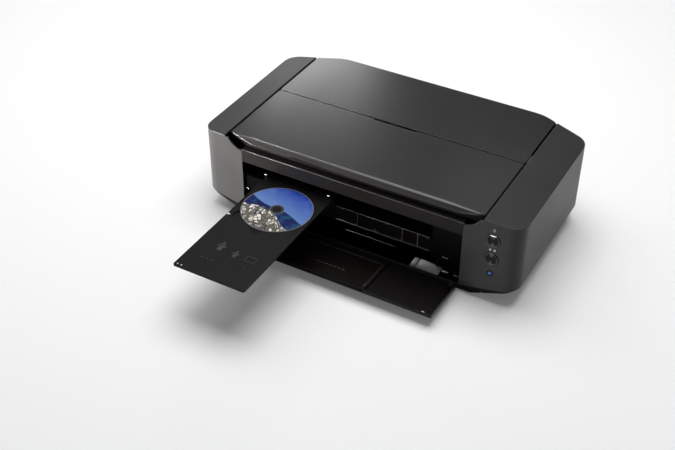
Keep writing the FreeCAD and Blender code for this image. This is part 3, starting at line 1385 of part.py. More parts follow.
def sheet_path():
    """What the sheet slides over: the ledge at the exit, the platen, and the ramp that feeds it."""
    face = "front + ledge_depth"
    run = "(eject_depth - eject_roller_radius - ledge_depth) * 0.6"
    ledge = prism("ledge_profile", "X", [
        (face, "ledge_bottom"),
        (face, "ledge_top"),
        (f"{face} + {run}", "guide_bottom"),
        ("front + eject_depth - eject_roller_radius - 1", "guide_bottom"),
        ("front + eject_depth - eject_roller_radius - 1", "guide_bottom - wall"),
        (f"{face} + {run} + 0.4", "guide_bottom - wall"),
        (f"{face} + wall", "ledge_top - wall + 0.6"),
        (f"{face} + wall", "ledge_bottom"),
    ], ("opening_left + wall + fit_gap", "paper_right"), [((1,), "1.5")])
    pads = []
    for index, (back, width) in enumerate(((164, 25), (135, 30), (98, 45), (50, 24), (21, 19))):
        low = f"paper_right - {back}"
        pads.append(box(f"ledge_pad_{index}", (low, f"{low} + {width}"), (f"{face} - 1.2", f"{face} + 1"),
                        ("ledge_bottom + 6", "ledge_top - 4")))
    bead = box("ledge_bead", ("paper_left + 128", "paper_right - 4"), (f"{face} - 1", f"{face} + 1"),
               ("ledge_bottom", "ledge_bottom + 1.6"))
    node("sheet_ledge", fuse("ledge_fused", ledge, bead, *pads))

    front, rear = "front + eject_depth + eject_roller_radius + 3", "front + bay_depth"
    deck_low, deck_high = "platen_top - 6", "platen_top - 2.8"
    deck = box("platen_deck", ("left_plate_x", "paper_right + wall"), (front, rear), (deck_low, deck_high))
    legs = [
        box("platen_rear_leg", ("opening_left + 10", "paper_right + wall"), (f"{rear} - wall", rear),
            ("bay_height", f"{deck_low} + 1")),
        box("platen_side_leg", ("paper_right", "paper_right + wall"), (front, rear),
            ("bay_height", f"{deck_low} + 1")),
    ]
    ribs = []
    for index in range(15):
        x = f"paper_left + 8 + {index} * (paper_right - paper_left - 18) / 14"
        ribs.append(box(f"platen_rib_{index}", (x, f"{x} + 1.4"), (f"{front} + 3", f"{rear} - 3"),
                        (f"{deck_high} - 0.5", "platen_top")))
    trough = box("platen_trough", ("paper_left", "paper_right"),
                 ("front + head_front + 4", "front + head_rear - 4"),
                 (f"{deck_high} - 2", "platen_top - 1.6"))
    node("platen", cut("platen_cut", fuse("platen_fused", deck, *legs, *ribs), trough))

    foot_y, head_y = "front + ramp_foot_depth", "front + ramp_head_depth"
    ramp = prism("ramp_profile", "X", [
        ("front + feed_roller_depth + feed_roller_radius + 3", "platen_top"),
        (foot_y, "platen_top"),
        (foot_y, "ramp_foot_height"),
        (head_y, "ramp_head_height"),
        ("front + body_depth - 11 - fit_gap", "ramp_head_height"),
        ("front + body_depth - 11 - fit_gap", "ramp_head_height - 4"),
        (f"{head_y} + 1", "ramp_head_height - 4"),
        (f"{foot_y} + 6", "platen_top - 3"),
        ("front + feed_roller_depth + feed_roller_radius + 3", "platen_top - 3"),
    ], ("left_plate_x", "right_plate_x"))
    room = outline("ramp_room", "(wall + fit_gap)", ("platen_top - 5", "ramp_head_height + 2"))
    node("feed_ramp", common("ramp_trimmed", ramp, room))

    def above_ramp(depth, lift):
        return f"ramp_foot_height + ({depth} - ramp_foot_depth) * ramp_slope + {lift}"

    for side, sign in (("left", "-"), ("right", "+")):
        x = f"paper_centre_x {sign} guide_half_width"
        outer = f"{x} {sign} 2"
        span = (outer, x) if side == "left" else (x, outer)
        fin = prism(f"{side}_fin", "X", [
            ("front + guide_start", above_ramp("guide_start", "0.36")),
            ("front + guide_end", above_ramp("guide_end", "0.36")),
            ("front + guide_end", "guide_crest"),
            ("front + guide_start + 24", "guide_crest"),
            ("front + guide_start", above_ramp("guide_start", "12")),
        ], span, [((3,), "6")])
        far = f"{x} {sign} 16"
        foot_span = (far, outer) if side == "left" else (outer, far)
        foot = prism(f"{side}_foot", "X", [
            ("front + guide_start + 4", above_ramp("guide_start + 4", "0.36")),
            ("front + guide_end - 6", above_ramp("guide_end - 6", "0.36")),
            ("front + guide_end - 6", above_ramp("guide_end - 6", "2.4")),
            ("front + guide_start + 4", above_ramp("guide_start + 4", "2.4")),
        ], foot_span)
        node(f"paper_guide_{side}", fuse(f"{side}_guide_fused", fin, foot))

    shaft = rod("pickup_shaft", "X", "feed_shaft_radius",
                ("left_plate_x - plate_thickness - 3", "right_plate_x + plate_thickness + 3"),
                AXES["pickup"])
    tyres = []
    for index, offset in enumerate((-60, 36)):
        x = f"paper_centre_x + {offset}"
        tyres.append(rod(f"pickup_tyre_{index}", "X", "pickup_radius", (x, f"{x} + 24"), AXES["pickup"]))
    node("pickup_roller", fuse("pickup_fused", shaft, *tyres))


# ---------------------------------------------------------------- service parts and electrics
def service_parts():
    """The unit that caps and wipes the head at home, the waste ink pad and the feet."""
    low, high = "paper_right + 14", "right_plate_x - 10"
    unit = box("unit_body", (low, high), ("front + carriage_front - 5", "front + carriage_rear - 8"),
               ("maintenance_floor", "head_face - 7"))
    solid = [unit]
    for index, offset in enumerate((-29, 3)):
        x = f"carriage_home_x + {offset}"
        cap = cut(
            f"cap_{index}",
            box(f"cap_outer_{index}", (x, f"{x} + 28"), ("front + head_front", "front + head_rear"),
                ("head_face - 8", "head_face - 0.5")),
            box(f"cap_inner_{index}", (f"{x} + 2", f"{x} + 26"),
                ("front + head_front + 2", "front + head_rear - 2"),
                ("head_face - 5", "head_face")),
        )
        solid.append(cap)
    wiper = box("unit_wiper", (f"{low} + 1", f"{low} + 2.4"), ("front + head_front", "front + head_rear"),
                ("head_face - 8", "head_face - 0.5"))
    node("maintenance_unit", fuse("unit_fused", *solid, wiper))
    node("waste_ink_pad", box("pad_block", ("pad_inset - half_width", "supply_left - pad_gap"),
                              ("front + bay_depth + 10", "front + body_depth - pad_rear_inset"),
                              ("foot_height + wall", "foot_height + wall + pad_thickness")))
    feet = []
    for x in ("-foot_side", "foot_side"):
        for depth in ("foot_front", "foot_rear"):
            pad = rod(f"foot_{len(feet)}", "Z", "foot_radius", ("0", "foot_height"),
                      (x, f"front + {depth}"))
            feet.append(fillet(f"foot_bevel_{len(feet)}", pad, "0.8", at_height("0"), "Part::Chamfer"))
    node("rubber_feet", group("feet", *feet))


def hinge_pins():
    """The steel pins of the three covers, two to a cover."""
    pins = []
    for index, x in enumerate(TOP_KNUCKLES):
        low = x if index == 0 else f"{x} + knuckle_width - hinge_pin_length"
        pins.append(rod(f"top_pin_{index}", "X", "hinge_pin_radius", (low, f"{low} + hinge_pin_length"),
                        ("front + top_hinge_depth", "top_hinge_height")))
    for index, x in enumerate(REAR_KNUCKLES):
        low = x if index == 0 else f"{x} + knuckle_width - hinge_pin_length"
        pins.append(rod(f"rear_pin_{index}", "X", "hinge_pin_radius", (low, f"{low} + hinge_pin_length"),
                        ("front + rear_hinge_depth", "rear_hinge_height")))
    for index, x in enumerate(("opening_left - 5", "opening_right - 7")):
        pins.append(rod(f"front_pin_{index}", "X", "hinge_pin_radius", (x, f"{x} + 12"),
                        ("front + front_hinge_depth", "front_hinge_height")))
    node("hinge_pins", group("pins", *pins))


def electrics():
    """The main board with its data socket, the supply with its mains inlet."""
    rear = "front + body_depth"
    face = f"{rear} - board_offset"
    card = box("board_card", ("board_left", "board_right"), (f"{face} - 1.6", face),
               ("board_bottom", "board_top"))
    chips = [
        box(f"board_chip_{index}", (f"board_left + {x}", f"board_left + {x + wide}"),
            (f"{face} - 1.6 - {tall}", f"{face} - 1"),
            (f"board_bottom + {z}", f"board_bottom + {z + high}"))
        for index, (x, z, wide, high, tall) in enumerate(
            ((60, 24, 24, 24, 2), (110, 32, 18, 12, 1.6), (150, 16, 10, 30, 5), (180, 36, 14, 20, 4)))
    ]
    node("logic_board", fuse("board_fused", card, *chips))
    port = cut(
        "port_cut",
        box("port_shell", ("port_x - 6", "port_x + 6"), (face, f"{rear} - 0.2"),
            ("port_z - 5.5", "port_z + 5.5")),
        box("port_hole", ("port_x - 4.3", "port_x + 4.3"), (f"{rear} - 9", f"{rear} + 1"),
            ("port_z - 4", "port_z + 4")),
    )
    tongue = box("port_tongue", ("port_x - 2.8", "port_x + 2.8"), (f"{rear} - 10", f"{rear} - 2.5"),
                 ("port_z - 1.6", "port_z + 1.6"))
    node("data_port", fuse("port_fused", port, tongue))
    supply_rear = f"{rear} - inlet_length"
    supply = box("supply_case", ("supply_left", "supply_left + supply_width"),
                 ("front + supply_front", supply_rear),
                 ("supply_floor", "supply_floor + supply_tall"))
    node("power_supply", fillet("supply_round", supply, "2",
                                lambda edge: abs(edge.Vertexes[0].Z - edge.Vertexes[-1].Z) > 5))
    inlet = cut(
        "inlet_cut",
        box("inlet_body", ("inlet_x - 11", "inlet_x + 11"), (supply_rear, f"{rear} - 0.2"),
            ("inlet_z - 7", "inlet_z + 7")),
        box("inlet_hole", ("inlet_x - 8", "inlet_x + 8"), (f"{rear} - 14", f"{rear} + 1"),
            ("inlet_z - 4.4", "inlet_z + 4.4")),
    )
    prongs = [rod(f"inlet_prong_{index}", "Y", "1.2", (f"{rear} - 15", f"{rear} - 4"),
                  (f"inlet_x + {offset}", "inlet_z"))
              for index, offset in enumerate((-4.3, 4.3))]
    node("power_inlet", fuse("inlet_fused", inlet, *prongs))


def controls():
    """Two sprung buttons, the light in the upper one, the lamp below, and the board behind them."""
    board_front = "front + panel_board_depth"
    for name, height in (("power", "power_button_height"), ("resume", "resume_button_height")):
        centre = ("button_x", height)
        cap = rod(f"{name}_cap", "Y", "button_radius", ("front - button_proud", "front + wall + 1"), centre)
        cap_round = fillet(f"{name}_cap_bevel", cap, "0.6",
                           at_depth("front - button_proud"),
                           "Part::Chamfer")
        flange = rod(f"{name}_flange", "Y", "button_radius + 1.6",
                     ("front + wall + fit_gap", "front + wall + 2"), centre)
        stem = rod(f"{name}_stem", "Y", "2", ("front + wall + 1",
                                              "front + panel_board_depth - 2 - button_travel"), centre)
        solid = fuse(f"{name}_fused", cap_round, flange, stem)
        if name == "power":
            seat = ("button_x - light_half", "button_x + light_half")
            lens_z = ("power_button_height + light_rise", "power_button_height + light_rise + light_tall")
            depth = ("front - button_proud - 0.2", "front + 1")
            solid = cut("power_lens_seat", solid, box("power_seat", seat,
                                                      ("front - button_proud - 1", "front + 1"), lens_z))
            node("power_light", box("power_lens", seat, depth, lens_z))
        node(f"{name}_button", solid)
    lamp = rod("lamp_lens", "Y", "4.2", ("front - 0.2", "front + wall"), ("button_x", "lamp_height"))
    lamp_flange = rod("lamp_flange", "Y", "5.4", ("front + wall", "front + wall + 2"),
                      ("button_x", "lamp_height"))
    node("status_lamp", fuse("lamp_fused", lamp, lamp_flange))
    card = box("panel_card", ("button_x - 16", "button_x + 18"), (board_front, f"{board_front} + 1.6"),
               ("lamp_height - 12", "power_button_height + 22"))
    switches = [box(f"panel_switch_{index}", ("button_x - 3", "button_x + 3"),
                    (f"{board_front} - 1.6", f"{board_front} + 0.5"), (f"{height} - 3", f"{height} + 3"))
                for index, height in enumerate(("power_button_height", "resume_button_height"))]
    light = box("panel_light", ("button_x - 2", "button_x + 2"),
                (f"{board_front} - 3", f"{board_front} + 0.5"),
                ("lamp_height - 2", "lamp_height + 2"))
    node("panel_board", fuse("panel_fused", card, light, *switches))


casing()
base_case()
rear_panel()
fascia()
upper_frame()
top_cover()
paper_support()
front_cover()
output_bay()
disc_parts()
chassis()
carriage()
belt_drive()
rollers()
stars()
sheet_path()
service_parts()
hinge_pins()
electrics()
controls()
DOC.recompute()


# ---------------------------------------------------------------- checks and files
def check():
    """Stop if any object failed, or a sub-part is empty or broken."""
    for item in DOC.Objects:
        if "Invalid" in item.State or "Error" in item.State:
            raise RuntimeError(f"{item.Name} failed: {item.State}")
    for item in NODES:
        if item.Shape.isNull() or not item.Shape.isValid() or not item.Shape.Solids:
            raise RuntimeError(f"{item.Label} has no sound shape")


def write():
    """Write each sub-part to its own file."""
    os.makedirs("parts", exist_ok=True)
    for item in NODES:
        item.Shape.exportStep(f"parts/{item.Label}.step")
    print(len(NODES), "sub-parts written")


check()
write()
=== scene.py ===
# %% [markdown]
# # A wide inkjet printer that takes a disc tray
# This notebook dresses a CAD model of a desktop printer. The CAD parts come in as a fixed frame, in
# metres, and keep their places. What Blender adds is the finish of every surface, and the small
# shapes that a moulder, a printer of discs or a maker of icons adds last.

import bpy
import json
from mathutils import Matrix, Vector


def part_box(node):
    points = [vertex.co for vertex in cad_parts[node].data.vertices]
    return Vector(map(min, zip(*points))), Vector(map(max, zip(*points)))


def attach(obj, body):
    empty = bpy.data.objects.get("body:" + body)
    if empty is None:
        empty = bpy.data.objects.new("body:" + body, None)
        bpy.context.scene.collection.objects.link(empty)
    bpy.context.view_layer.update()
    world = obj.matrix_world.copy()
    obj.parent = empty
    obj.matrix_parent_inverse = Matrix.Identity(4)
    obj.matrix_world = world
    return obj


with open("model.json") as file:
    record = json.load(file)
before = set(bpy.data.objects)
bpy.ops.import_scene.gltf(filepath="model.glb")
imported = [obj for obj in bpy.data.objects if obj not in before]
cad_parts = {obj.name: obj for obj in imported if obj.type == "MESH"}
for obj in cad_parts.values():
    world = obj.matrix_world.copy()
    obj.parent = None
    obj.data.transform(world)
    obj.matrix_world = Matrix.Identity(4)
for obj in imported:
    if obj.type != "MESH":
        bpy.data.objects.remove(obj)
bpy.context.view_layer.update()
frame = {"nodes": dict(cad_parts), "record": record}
NODES = frame["nodes"]

# %% Tools and units
import json
import math

import bmesh
import bpy
from mathutils import Matrix, Vector

MM = 0.001
SCENE = bpy.context.scene

# %% [markdown]
# ## Camera
# A camera could be aimed by eye, but a product view is easier to keep if it is written as an
# azimuth, an elevation, a distance and a roll about a target.

# %% Camera
VIEW_AZIMUTH = math.radians(29.323)
VIEW_ELEVATION = math.radians(37.756)
VIEW_ROLL = math.radians(0.297)
VIEW_DISTANCE = 1.82773
VIEW_TARGET = Vector((-0.0095, -0.06513, 0.080))
SENSOR_WIDTH = 36
LENS = 59.474


def place_camera():
    """A camera that looks at the target from the front right, and a little down."""
    away = Vector((
        math.sin(VIEW_AZIMUTH) * math.cos(VIEW_ELEVATION),
        -math.cos(VIEW_AZIMUTH) * math.cos(VIEW_ELEVATION),
        math.sin(VIEW_ELEVATION),
    ))
    side = Vector((math.cos(VIEW_AZIMUTH), math.sin(VIEW_AZIMUTH), 0))
    up = away.cross(side)
    right = math.cos(VIEW_ROLL) * side + math.sin(VIEW_ROLL) * up
    above = math.cos(VIEW_ROLL) * up - math.sin(VIEW_ROLL) * side
    turn = Matrix((right, above, away)).transposed().to_4x4()
    data = bpy.data.cameras.new("camera")
    data.sensor_width = SENSOR_WIDTH
    data.lens = LENS
    camera = bpy.data.objects.new("camera", data)
    SCENE.collection.objects.link(camera)
    camera.matrix_world = Matrix.Translation(VIEW_TARGET + VIEW_DISTANCE * away) @ turn
    SCENE.camera = camera
    return camera


print("camera at", [round(c, 3) for c in place_camera().location])

# %% [markdown]
# ## Helpers for node trees
# Every finish below is a small graph of nodes. Such a graph is easy to wire in the editor but slow
# to repeat, so a few helpers make the common steps one line each: place a node with its inputs, do
# a sum, mix two colours, and read the place on the object that a pattern is worked out from. Every
# object here sits at the origin, so Object coordinates are metres in the frame.

# %% Nodes and sums


def feed(tree, socket, value):
    """Wire a socket to another socket, or give it a plain value."""
    if isinstance(value, bpy.types.NodeSocket):
        tree.links.new(value, socket)
    else:
        socket.default_value = value


def add_node(tree, kind, **values):
    """A node with some inputs fed; an underscore in a name stands for a space."""
    made = tree.nodes.new("ShaderNode" + kind)
    for label, value in values.items():
        feed(tree, made.inputs[label.replace("_", " ")], value)
    return made


def math_node(tree, operation, *values, clamp=False):
    """A Math node whose inputs are sockets or plain numbers."""
    made = tree.nodes.new("ShaderNodeMath")
    made.operation = operation
    made.use_clamp = clamp
    for socket, value in zip(made.inputs, values):
        feed(tree, socket, value)
    return made.outputs[0]


def length(tree, vector):
    """How long a vector is."""
    made = tree.nodes.new("ShaderNodeVectorMath")
    made.operation = "LENGTH"
    tree.links.new(vector, made.inputs[0])
    return made.outputs["Value"]


def object_place(tree):
    """The place on the object, in metres."""
    return tree.nodes.new("ShaderNodeTexCoord").outputs["Object"]


print("node helpers are ready")

# %% Noise and colours


def noise(tree, vector, scale, detail=2.0, roughness=0.5):
    """A 3-D noise whose scale is in cells per metre."""
    return add_node(tree, "TexNoise", Vector=vector, Scale=scale, Detail=detail,
                    Roughness=roughness).outputs["Fac"]


def step_up(tree, value, edge, width):
    """0 below the edge and 1 above it, over a soft width."""
    return math_node(tree, "DIVIDE", math_node(tree, "SUBTRACT", value, edge), width, clamp=True)


def ramp(tree, factor, start, first, end, last):
    """A colour that runs from the first to the last as the factor runs from start to end."""
    made = tree.nodes.new("ShaderNodeValToRGB")
    for stop, place, colour in zip(made.color_ramp.elements, (start, end), (first, last)):
        stop.position = place
        stop.color = (*colour, 1)
    tree.links.new(factor, made.inputs[0])
    return made.outputs["Color"]


def colour_mix(tree, factor, low, high):
    """Low where the factor is 0 and high where it is 1; each is a socket or a colour."""
    mix = tree.nodes.new("ShaderNodeMix")
    mix.data_type = "RGBA"
    tree.links.new(factor, mix.inputs["Factor"])
    for label, value in (("A", low), ("B", high)):
        feed(tree, mix.inputs[label], (*value, 1) if isinstance(value, tuple) else value)
    return mix.outputs["Result"]


print("colours are linear: a grey of 0.18 shows as", round(255 * 0.18 ** (1 / 2.2)), "of 255")

# %% [markdown]
# ## Stage and light
# Black plastic is seen by what it mirrors. In a product studio the ceiling is dark, the walls and
# the floor are pale, and a few soft lamps on the left give the covers their sheen. A single grey
# world would be simpler, but it would veil every black surface, so this one is pale at the horizon
# and dim overhead for eyes and mirrors, and an even dim light for dull surfaces.

# %% World
ROOM_LIGHT = 0.17
ROOM_TINT = (0.96, 0.98, 1.0, 1)
BACKDROP_WHITE, BACKDROP_TOP = (0.955, 0.955, 0.955), 0.10
CEILING_GREY, CEILING_EDGE = (0.04, 0.04, 0.042), 0.42


def looked_at(tree):
    """1 for camera, mirror and glass rays, 0 for light that bounces off a dull surface."""
    path = tree.nodes.new("ShaderNodeLightPath")
    seen = math_node(tree, "ADD", path.outputs["Is Camera Ray"], path.outputs["Is Glossy Ray"])
    return math_node(tree, "ADD", seen, path.outputs["Is Transmission Ray"], clamp=True)


def mix_shaders(tree, factor, first, second):
    """The first shader where the factor is 0, the second where it is 1."""
    mix = tree.nodes.new("ShaderNodeMixShader")
    for socket, value in zip(mix.inputs, (factor, first, second)):
        tree.links.new(value, socket)
    return mix.outputs[0]


def light_world():
    """An even dim light for dull surfaces; a pale backdrop under a dark ceiling for the eye."""
    world = bpy.data.worlds.new("studio")
    SCENE.world = world
    world.use_nodes = True
    tree = world.node_tree
    tree.nodes.clear()
    direction = tree.nodes.new("ShaderNodeTexCoord").outputs["Generated"]
    height = add_node(tree, "SeparateXYZ", Vector=direction).outputs["Z"]
    walls = ramp(tree, height, BACKDROP_TOP, BACKDROP_WHITE, CEILING_EDGE, CEILING_GREY)
    soft = add_node(tree, "Background", Color=ROOM_TINT, Strength=ROOM_LIGHT)
    room = add_node(tree, "Background", Color=walls)
    both = mix_shaders(tree, looked_at(tree), soft.outputs[0], room.outputs[0])
    add_node(tree, "OutputWorld", Surface=both)
    return world


print("world:", light_world().name, "with a room light of", ROOM_LIGHT)

# %% [markdown]
# ## Floor
# A paper sweep runs from under the product up into the backdrop, so no horizon shows. It could be
# bent as a mesh. Here one flat sheet does it: near the printer it is a pale dull surface that takes
# a soft shadow, and further out it fades into the backdrop's white. It glows a little, but only for
# what looks at it directly or in a mirror, so the glow puts no light on the printer.

# %% Floor material
FLOOR_TONE = (0.80, 0.80, 0.80, 1)
FLOOR_GLOW = 0.10
SWEEP_NEAR, SWEEP_FAR = 0.75, 1.9


def floor_material():
    """Pale and dull near the middle, the white of the backdrop further out."""
    material = bpy.data.materials.new("pale floor")
    material.use_nodes = True
    tree = material.node_tree
    tree.nodes.clear()
    matte = add_node(tree, "BsdfDiffuse", Color=FLOOR_TONE)
    glow = add_node(tree, "Emission",
                    Strength=math_node(tree, "MULTIPLY", looked_at(tree), FLOOR_GLOW))
    near = tree.nodes.new("ShaderNodeAddShader")
    tree.links.new(matte.outputs[0], near.inputs[0])
    tree.links.new(glow.outputs[0], near.inputs[1])
    far = step_up(tree, length(tree, object_place(tree)), SWEEP_NEAR, SWEEP_FAR - SWEEP_NEAR)
    far = math_node(tree, "MULTIPLY", far, looked_at(tree))
    sweep = add_node(tree, "Emission", Color=(*BACKDROP_WHITE, 1))
    both = mix_shaders(tree, far, near.outputs[0], sweep.outputs[0])
    add_node(tree, "OutputMaterial", Surface=both)
    return material


FLOOR_PAPER = floor_material()
print("the floor fades from", SWEEP_NEAR, "to", SWEEP_FAR, "m")

# %% Floor
FLOOR_SIZE = 9.0


def make_floor():
    """One flat square, told apart from the product as stage."""
    bm = bmesh.new()
    bmesh.ops.create_grid(bm, x_segments=1, y_segments=1, size=FLOOR_SIZE / 2)
    mesh = bpy.data.meshes.new("floor")
    bm.to_mesh(mesh)
    bm.free()
    floor = bpy.data.objects.new("floor", mesh)
    SCENE.collection.objects.link(floor)
    mesh.materials.append(FLOOR_PAPER)
    return floor


print("floor", make_floor().dimensions[:])

# %% [markdown]
# ## Softboxes
# Each lamp is a rectangle of light with one job. Two small ones behind draw the glow across the
# lids, a large one on the left shapes the front, and the overhead one gives most of the light. The
# last is low on the left and has a grid that narrows its beam: it lifts the left front cover. On a
# real set a card would keep its light off the table, the tray and the opening. Light linking is
# that card: the lamp lights only what is in its collection.

# %% Four open softboxes
# Place, aim, size in metres, and power in watts.
SOFTBOXES = {
    "rear left box": ((-1.02, 1.53, 0.88), (-0.17, 0.25, 0.16), (0.42, 0.34), 2.7),
    "rear right box": ((-0.21, 1.30, 1.21), (0.15, 0.0, 0.15), (0.36, 0.36), 0.25),
    "key box": ((-1.30, 0.35, 1.70), (-0.1, 0, 0.0), (1.3, 1.3), 11),
    "overhead box": ((0.0, 0.45, 2.25), (0, 0, 0), (1.8, 1.8), 48),
}


def softbox(name, at, aim, size, power, spread=180):
    """A rectangular lamp turned towards a place; a grid on it narrows its spread in degrees."""
    data = bpy.data.lights.new(name, "AREA")
    data.shape = "RECTANGLE"
    data.size, data.size_y = size
    data.energy = power
    data.spread = math.radians(spread)
    lamp = bpy.data.objects.new(name, data)
    SCENE.collection.objects.link(lamp)
    lamp.location = at
    lamp.rotation_euler = (Vector(aim) - Vector(at)).to_track_quat("-Z", "Y").to_euler()
    lamp.visible_camera = False
    return lamp


for name, values in SOFTBOXES.items():
    print(softbox(name, *values).name)

# %% The panel box and what it lights
SHADED_PARTS = ("disc_tray", "disc", "disc_guide", "output_bay", "sheet_ledge", "front_cover",
                "output_extension")
panel_box = softbox("panel box", (-0.74, -0.60, 0.22), (-0.29, -0.03, 0.10), (0.26, 0.26), 5.2, 60)
PANEL_LIT = bpy.data.collections.new("lit by the panel box")
for name, part in NODES.items():
    if name not in SHADED_PARTS:
        PANEL_LIT.objects.link(part)
panel_box.light_linking.receiver_collection = PANEL_LIT

# %% [markdown]
# ## Effects that several finishes share
# Moulded plastic has a fine spark-eroded grain, edges that are never quite sharp, and a gloss that
# drifts a little across a panel. Where hands rub it, its edges turn paler. Both effects turn up in
# many materials, so each is a node group with named inputs, built once. A group puts out only
# masks, values or normals. The shader itself stays in the material, where an exporter can read it.

# %% Groups of nodes
FLOAT, VECTOR = "NodeSocketFloat", "NodeSocketVector"
BEVEL_SAMPLES = 4


def new_group(name, inputs, outputs):
    """An empty shader group with inputs (name, kind, default) and outputs (name, kind)."""
    group = bpy.data.node_groups.new(name, "ShaderNodeTree")
    for label, kind, default in inputs:
        item = group.interface.new_socket(name=label, in_out="INPUT", socket_type=kind)
        item.default_value = default
    for label, kind in outputs:
        group.interface.new_socket(name=label, in_out="OUTPUT", socket_type=kind)
    given, out = group.nodes.new("NodeGroupInput"), group.nodes.new("NodeGroupOutput")
    return group, given.outputs, out.inputs


def soft_edge(group, radius):
    """The normal of a surface whose edges are rounded by a radius."""
    edge = add_node(group, "Bevel", Radius=radius)
    edge.samples = BEVEL_SAMPLES
    return edge.outputs[0]


print("edges are rounded from", BEVEL_SAMPLES, "samples each")

# %% Group: moulded grain
CLOUD_SCALE = 14.0


def build_grain():
    """Fine spark-eroded grain, rounded edges, and a roughness that varies a little."""
    group, given, out = new_group(
        "Moulded Grain",
        [("Scale", FLOAT, 2600.0), ("Relief", FLOAT, 0.00002), ("Edge Radius", FLOAT, 0.0004),
         ("Roughness", FLOAT, 0.4), ("Spread", FLOAT, 0.06)],
        [("Normal", VECTOR), ("Roughness", FLOAT), ("Cloud", FLOAT)],
    )
    where = object_place(group)
    fine = noise(group, where, given["Scale"], 2.0, 0.6)
    broad = noise(group, where, CLOUD_SCALE, 3.0, 0.55)
    bump = add_node(group, "Bump", Strength=1.0, Distance=given["Relief"], Height=fine,
                    Normal=soft_edge(group, given["Edge Radius"]))
    drift = math_node(group, "MULTIPLY", math_node(group, "SUBTRACT", broad, 0.5), given["Spread"])
    drift = math_node(group, "MULTIPLY", drift, 2.0)
    rough = math_node(group, "ADD", given["Roughness"], drift, clamp=True)
    for label, value in (("Normal", bump.outputs[0]), ("Roughness", rough), ("Cloud", broad)):
        group.links.new(value, out[label])
    return group


GRAIN = build_grain()
print(GRAIN.name, "puts out", [item.name for item in GRAIN.interface.items_tree
                               if item.in_out == "OUTPUT"])

# %% Group: worn edges
PATCH_SCALE = 90.0


def build_edge_wear():
    """A mask of sharp convex edges, broken up by noise."""
    group, given, out = new_group(
        "Edge Wear", [("Radius", FLOAT, 0.0008), ("Gain", FLOAT, 4.0)], [("Mask", FLOAT)])
    true = group.nodes.new("ShaderNodeNewGeometry")
    dot = group.nodes.new("ShaderNodeVectorMath")
    dot.operation = "DOT_PRODUCT"
    group.links.new(soft_edge(group, given["Radius"]), dot.inputs[0])
    group.links.new(true.outputs["Normal"], dot.inputs[1])
    turn = math_node(group, "SUBTRACT", 1.0, dot.outputs["Value"])
    turn = math_node(group, "MULTIPLY", turn, given["Gain"], clamp=True)
    patchy = noise(group, object_place(group), PATCH_SCALE, 3.0, 0.6)
    group.links.new(math_node(group, "MULTIPLY", turn, patchy, clamp=True), out["Mask"])
    return group


EDGE_WEAR = build_edge_wear()
print("groups:", [group.name for group in bpy.data.node_groups])

# %% [markdown]
# ## Plastics
# The printer is almost all black plastic, so the finishes differ in grain and gloss more than in
# colour: satin covers, a glossier lid, dull dark mouldings in the opening. A material each would
# repeat the same graph twenty times. One function makes a moulded plastic from a few numbers
# instead, and a table gives the numbers. Lids are polished in the mould, so their gloss has no
# drift, and then roughness is a plain number on the shader.

# %% An empty material, a group in it, and steps of a colour


def blank_material(name):
    """A material with a Principled shader wired to its output."""
    material = bpy.data.materials.new(name)
    material.use_nodes = True
    tree = material.node_tree
    tree.nodes.clear()
    shader = tree.nodes.new("ShaderNodeBsdfPrincipled")
    add_node(tree, "OutputMaterial", Surface=shader.outputs[0])
    return material, tree, shader.inputs


def use_group(tree, group, **values):
    """Place a group and set its inputs; an underscore in a name stands for a space."""
    made = tree.nodes.new("ShaderNodeGroup")
    made.node_tree = group
    for label, value in values.items():
        made.inputs[label.replace("_", " ")].default_value = value
    return made.outputs


def shade(colour, factor):
    """A darker or paler step of a colour."""
    return tuple(c * factor for c in colour)


print("half of a 0.2 grey is", shade((0.2, 0.2, 0.2), 0.5)[0])

# %% Moulded plastic
CLOUD_LOW, CLOUD_HIGH = 0.35, 0.65
CLOUD_DARK, CLOUD_PALE = 0.93, 1.07
WEAR_STRENGTH, WEAR_WIDTH = 0.35, 1.6
COAT_ROUGHNESS = 0.12


def moulded(name, colour, roughness, grain=2600.0, relief=0.00002, edge=0.0004, spread=0.05,
            coat=0.0, wear=(0.12, 0.12, 0.12), specular=0.5):
    """Moulded plastic: fine grain, soft edges, a faint cloud in the colour, paler worn edges."""
    material, tree, shader = blank_material(name)
    grained = use_group(tree, GRAIN, Scale=grain, Relief=relief, Edge_Radius=edge,
                        Roughness=roughness, Spread=spread)
    worn = use_group(tree, EDGE_WEAR, Radius=edge * WEAR_WIDTH)
    body = ramp(tree, grained["Cloud"], CLOUD_LOW, shade(colour, CLOUD_DARK), CLOUD_HIGH,
                shade(colour, CLOUD_PALE))
    rubbed = math_node(tree, "MULTIPLY", worn["Mask"], WEAR_STRENGTH)
    tree.links.new(colour_mix(tree, rubbed, body, wear), shader["Base Color"])
    shader["Roughness"].default_value = roughness
    if spread:
        tree.links.new(grained["Roughness"], shader["Roughness"])
    tree.links.new(grained["Normal"], shader["Normal"])
    shader["Coat Weight"].default_value = coat
    shader["Coat Roughness"].default_value = COAT_ROUGHNESS
    shader["Specular IOR Level"].default_value = specular
    return material


print("worn edges show by up to", round(100 * WEAR_STRENGTH), "percent")

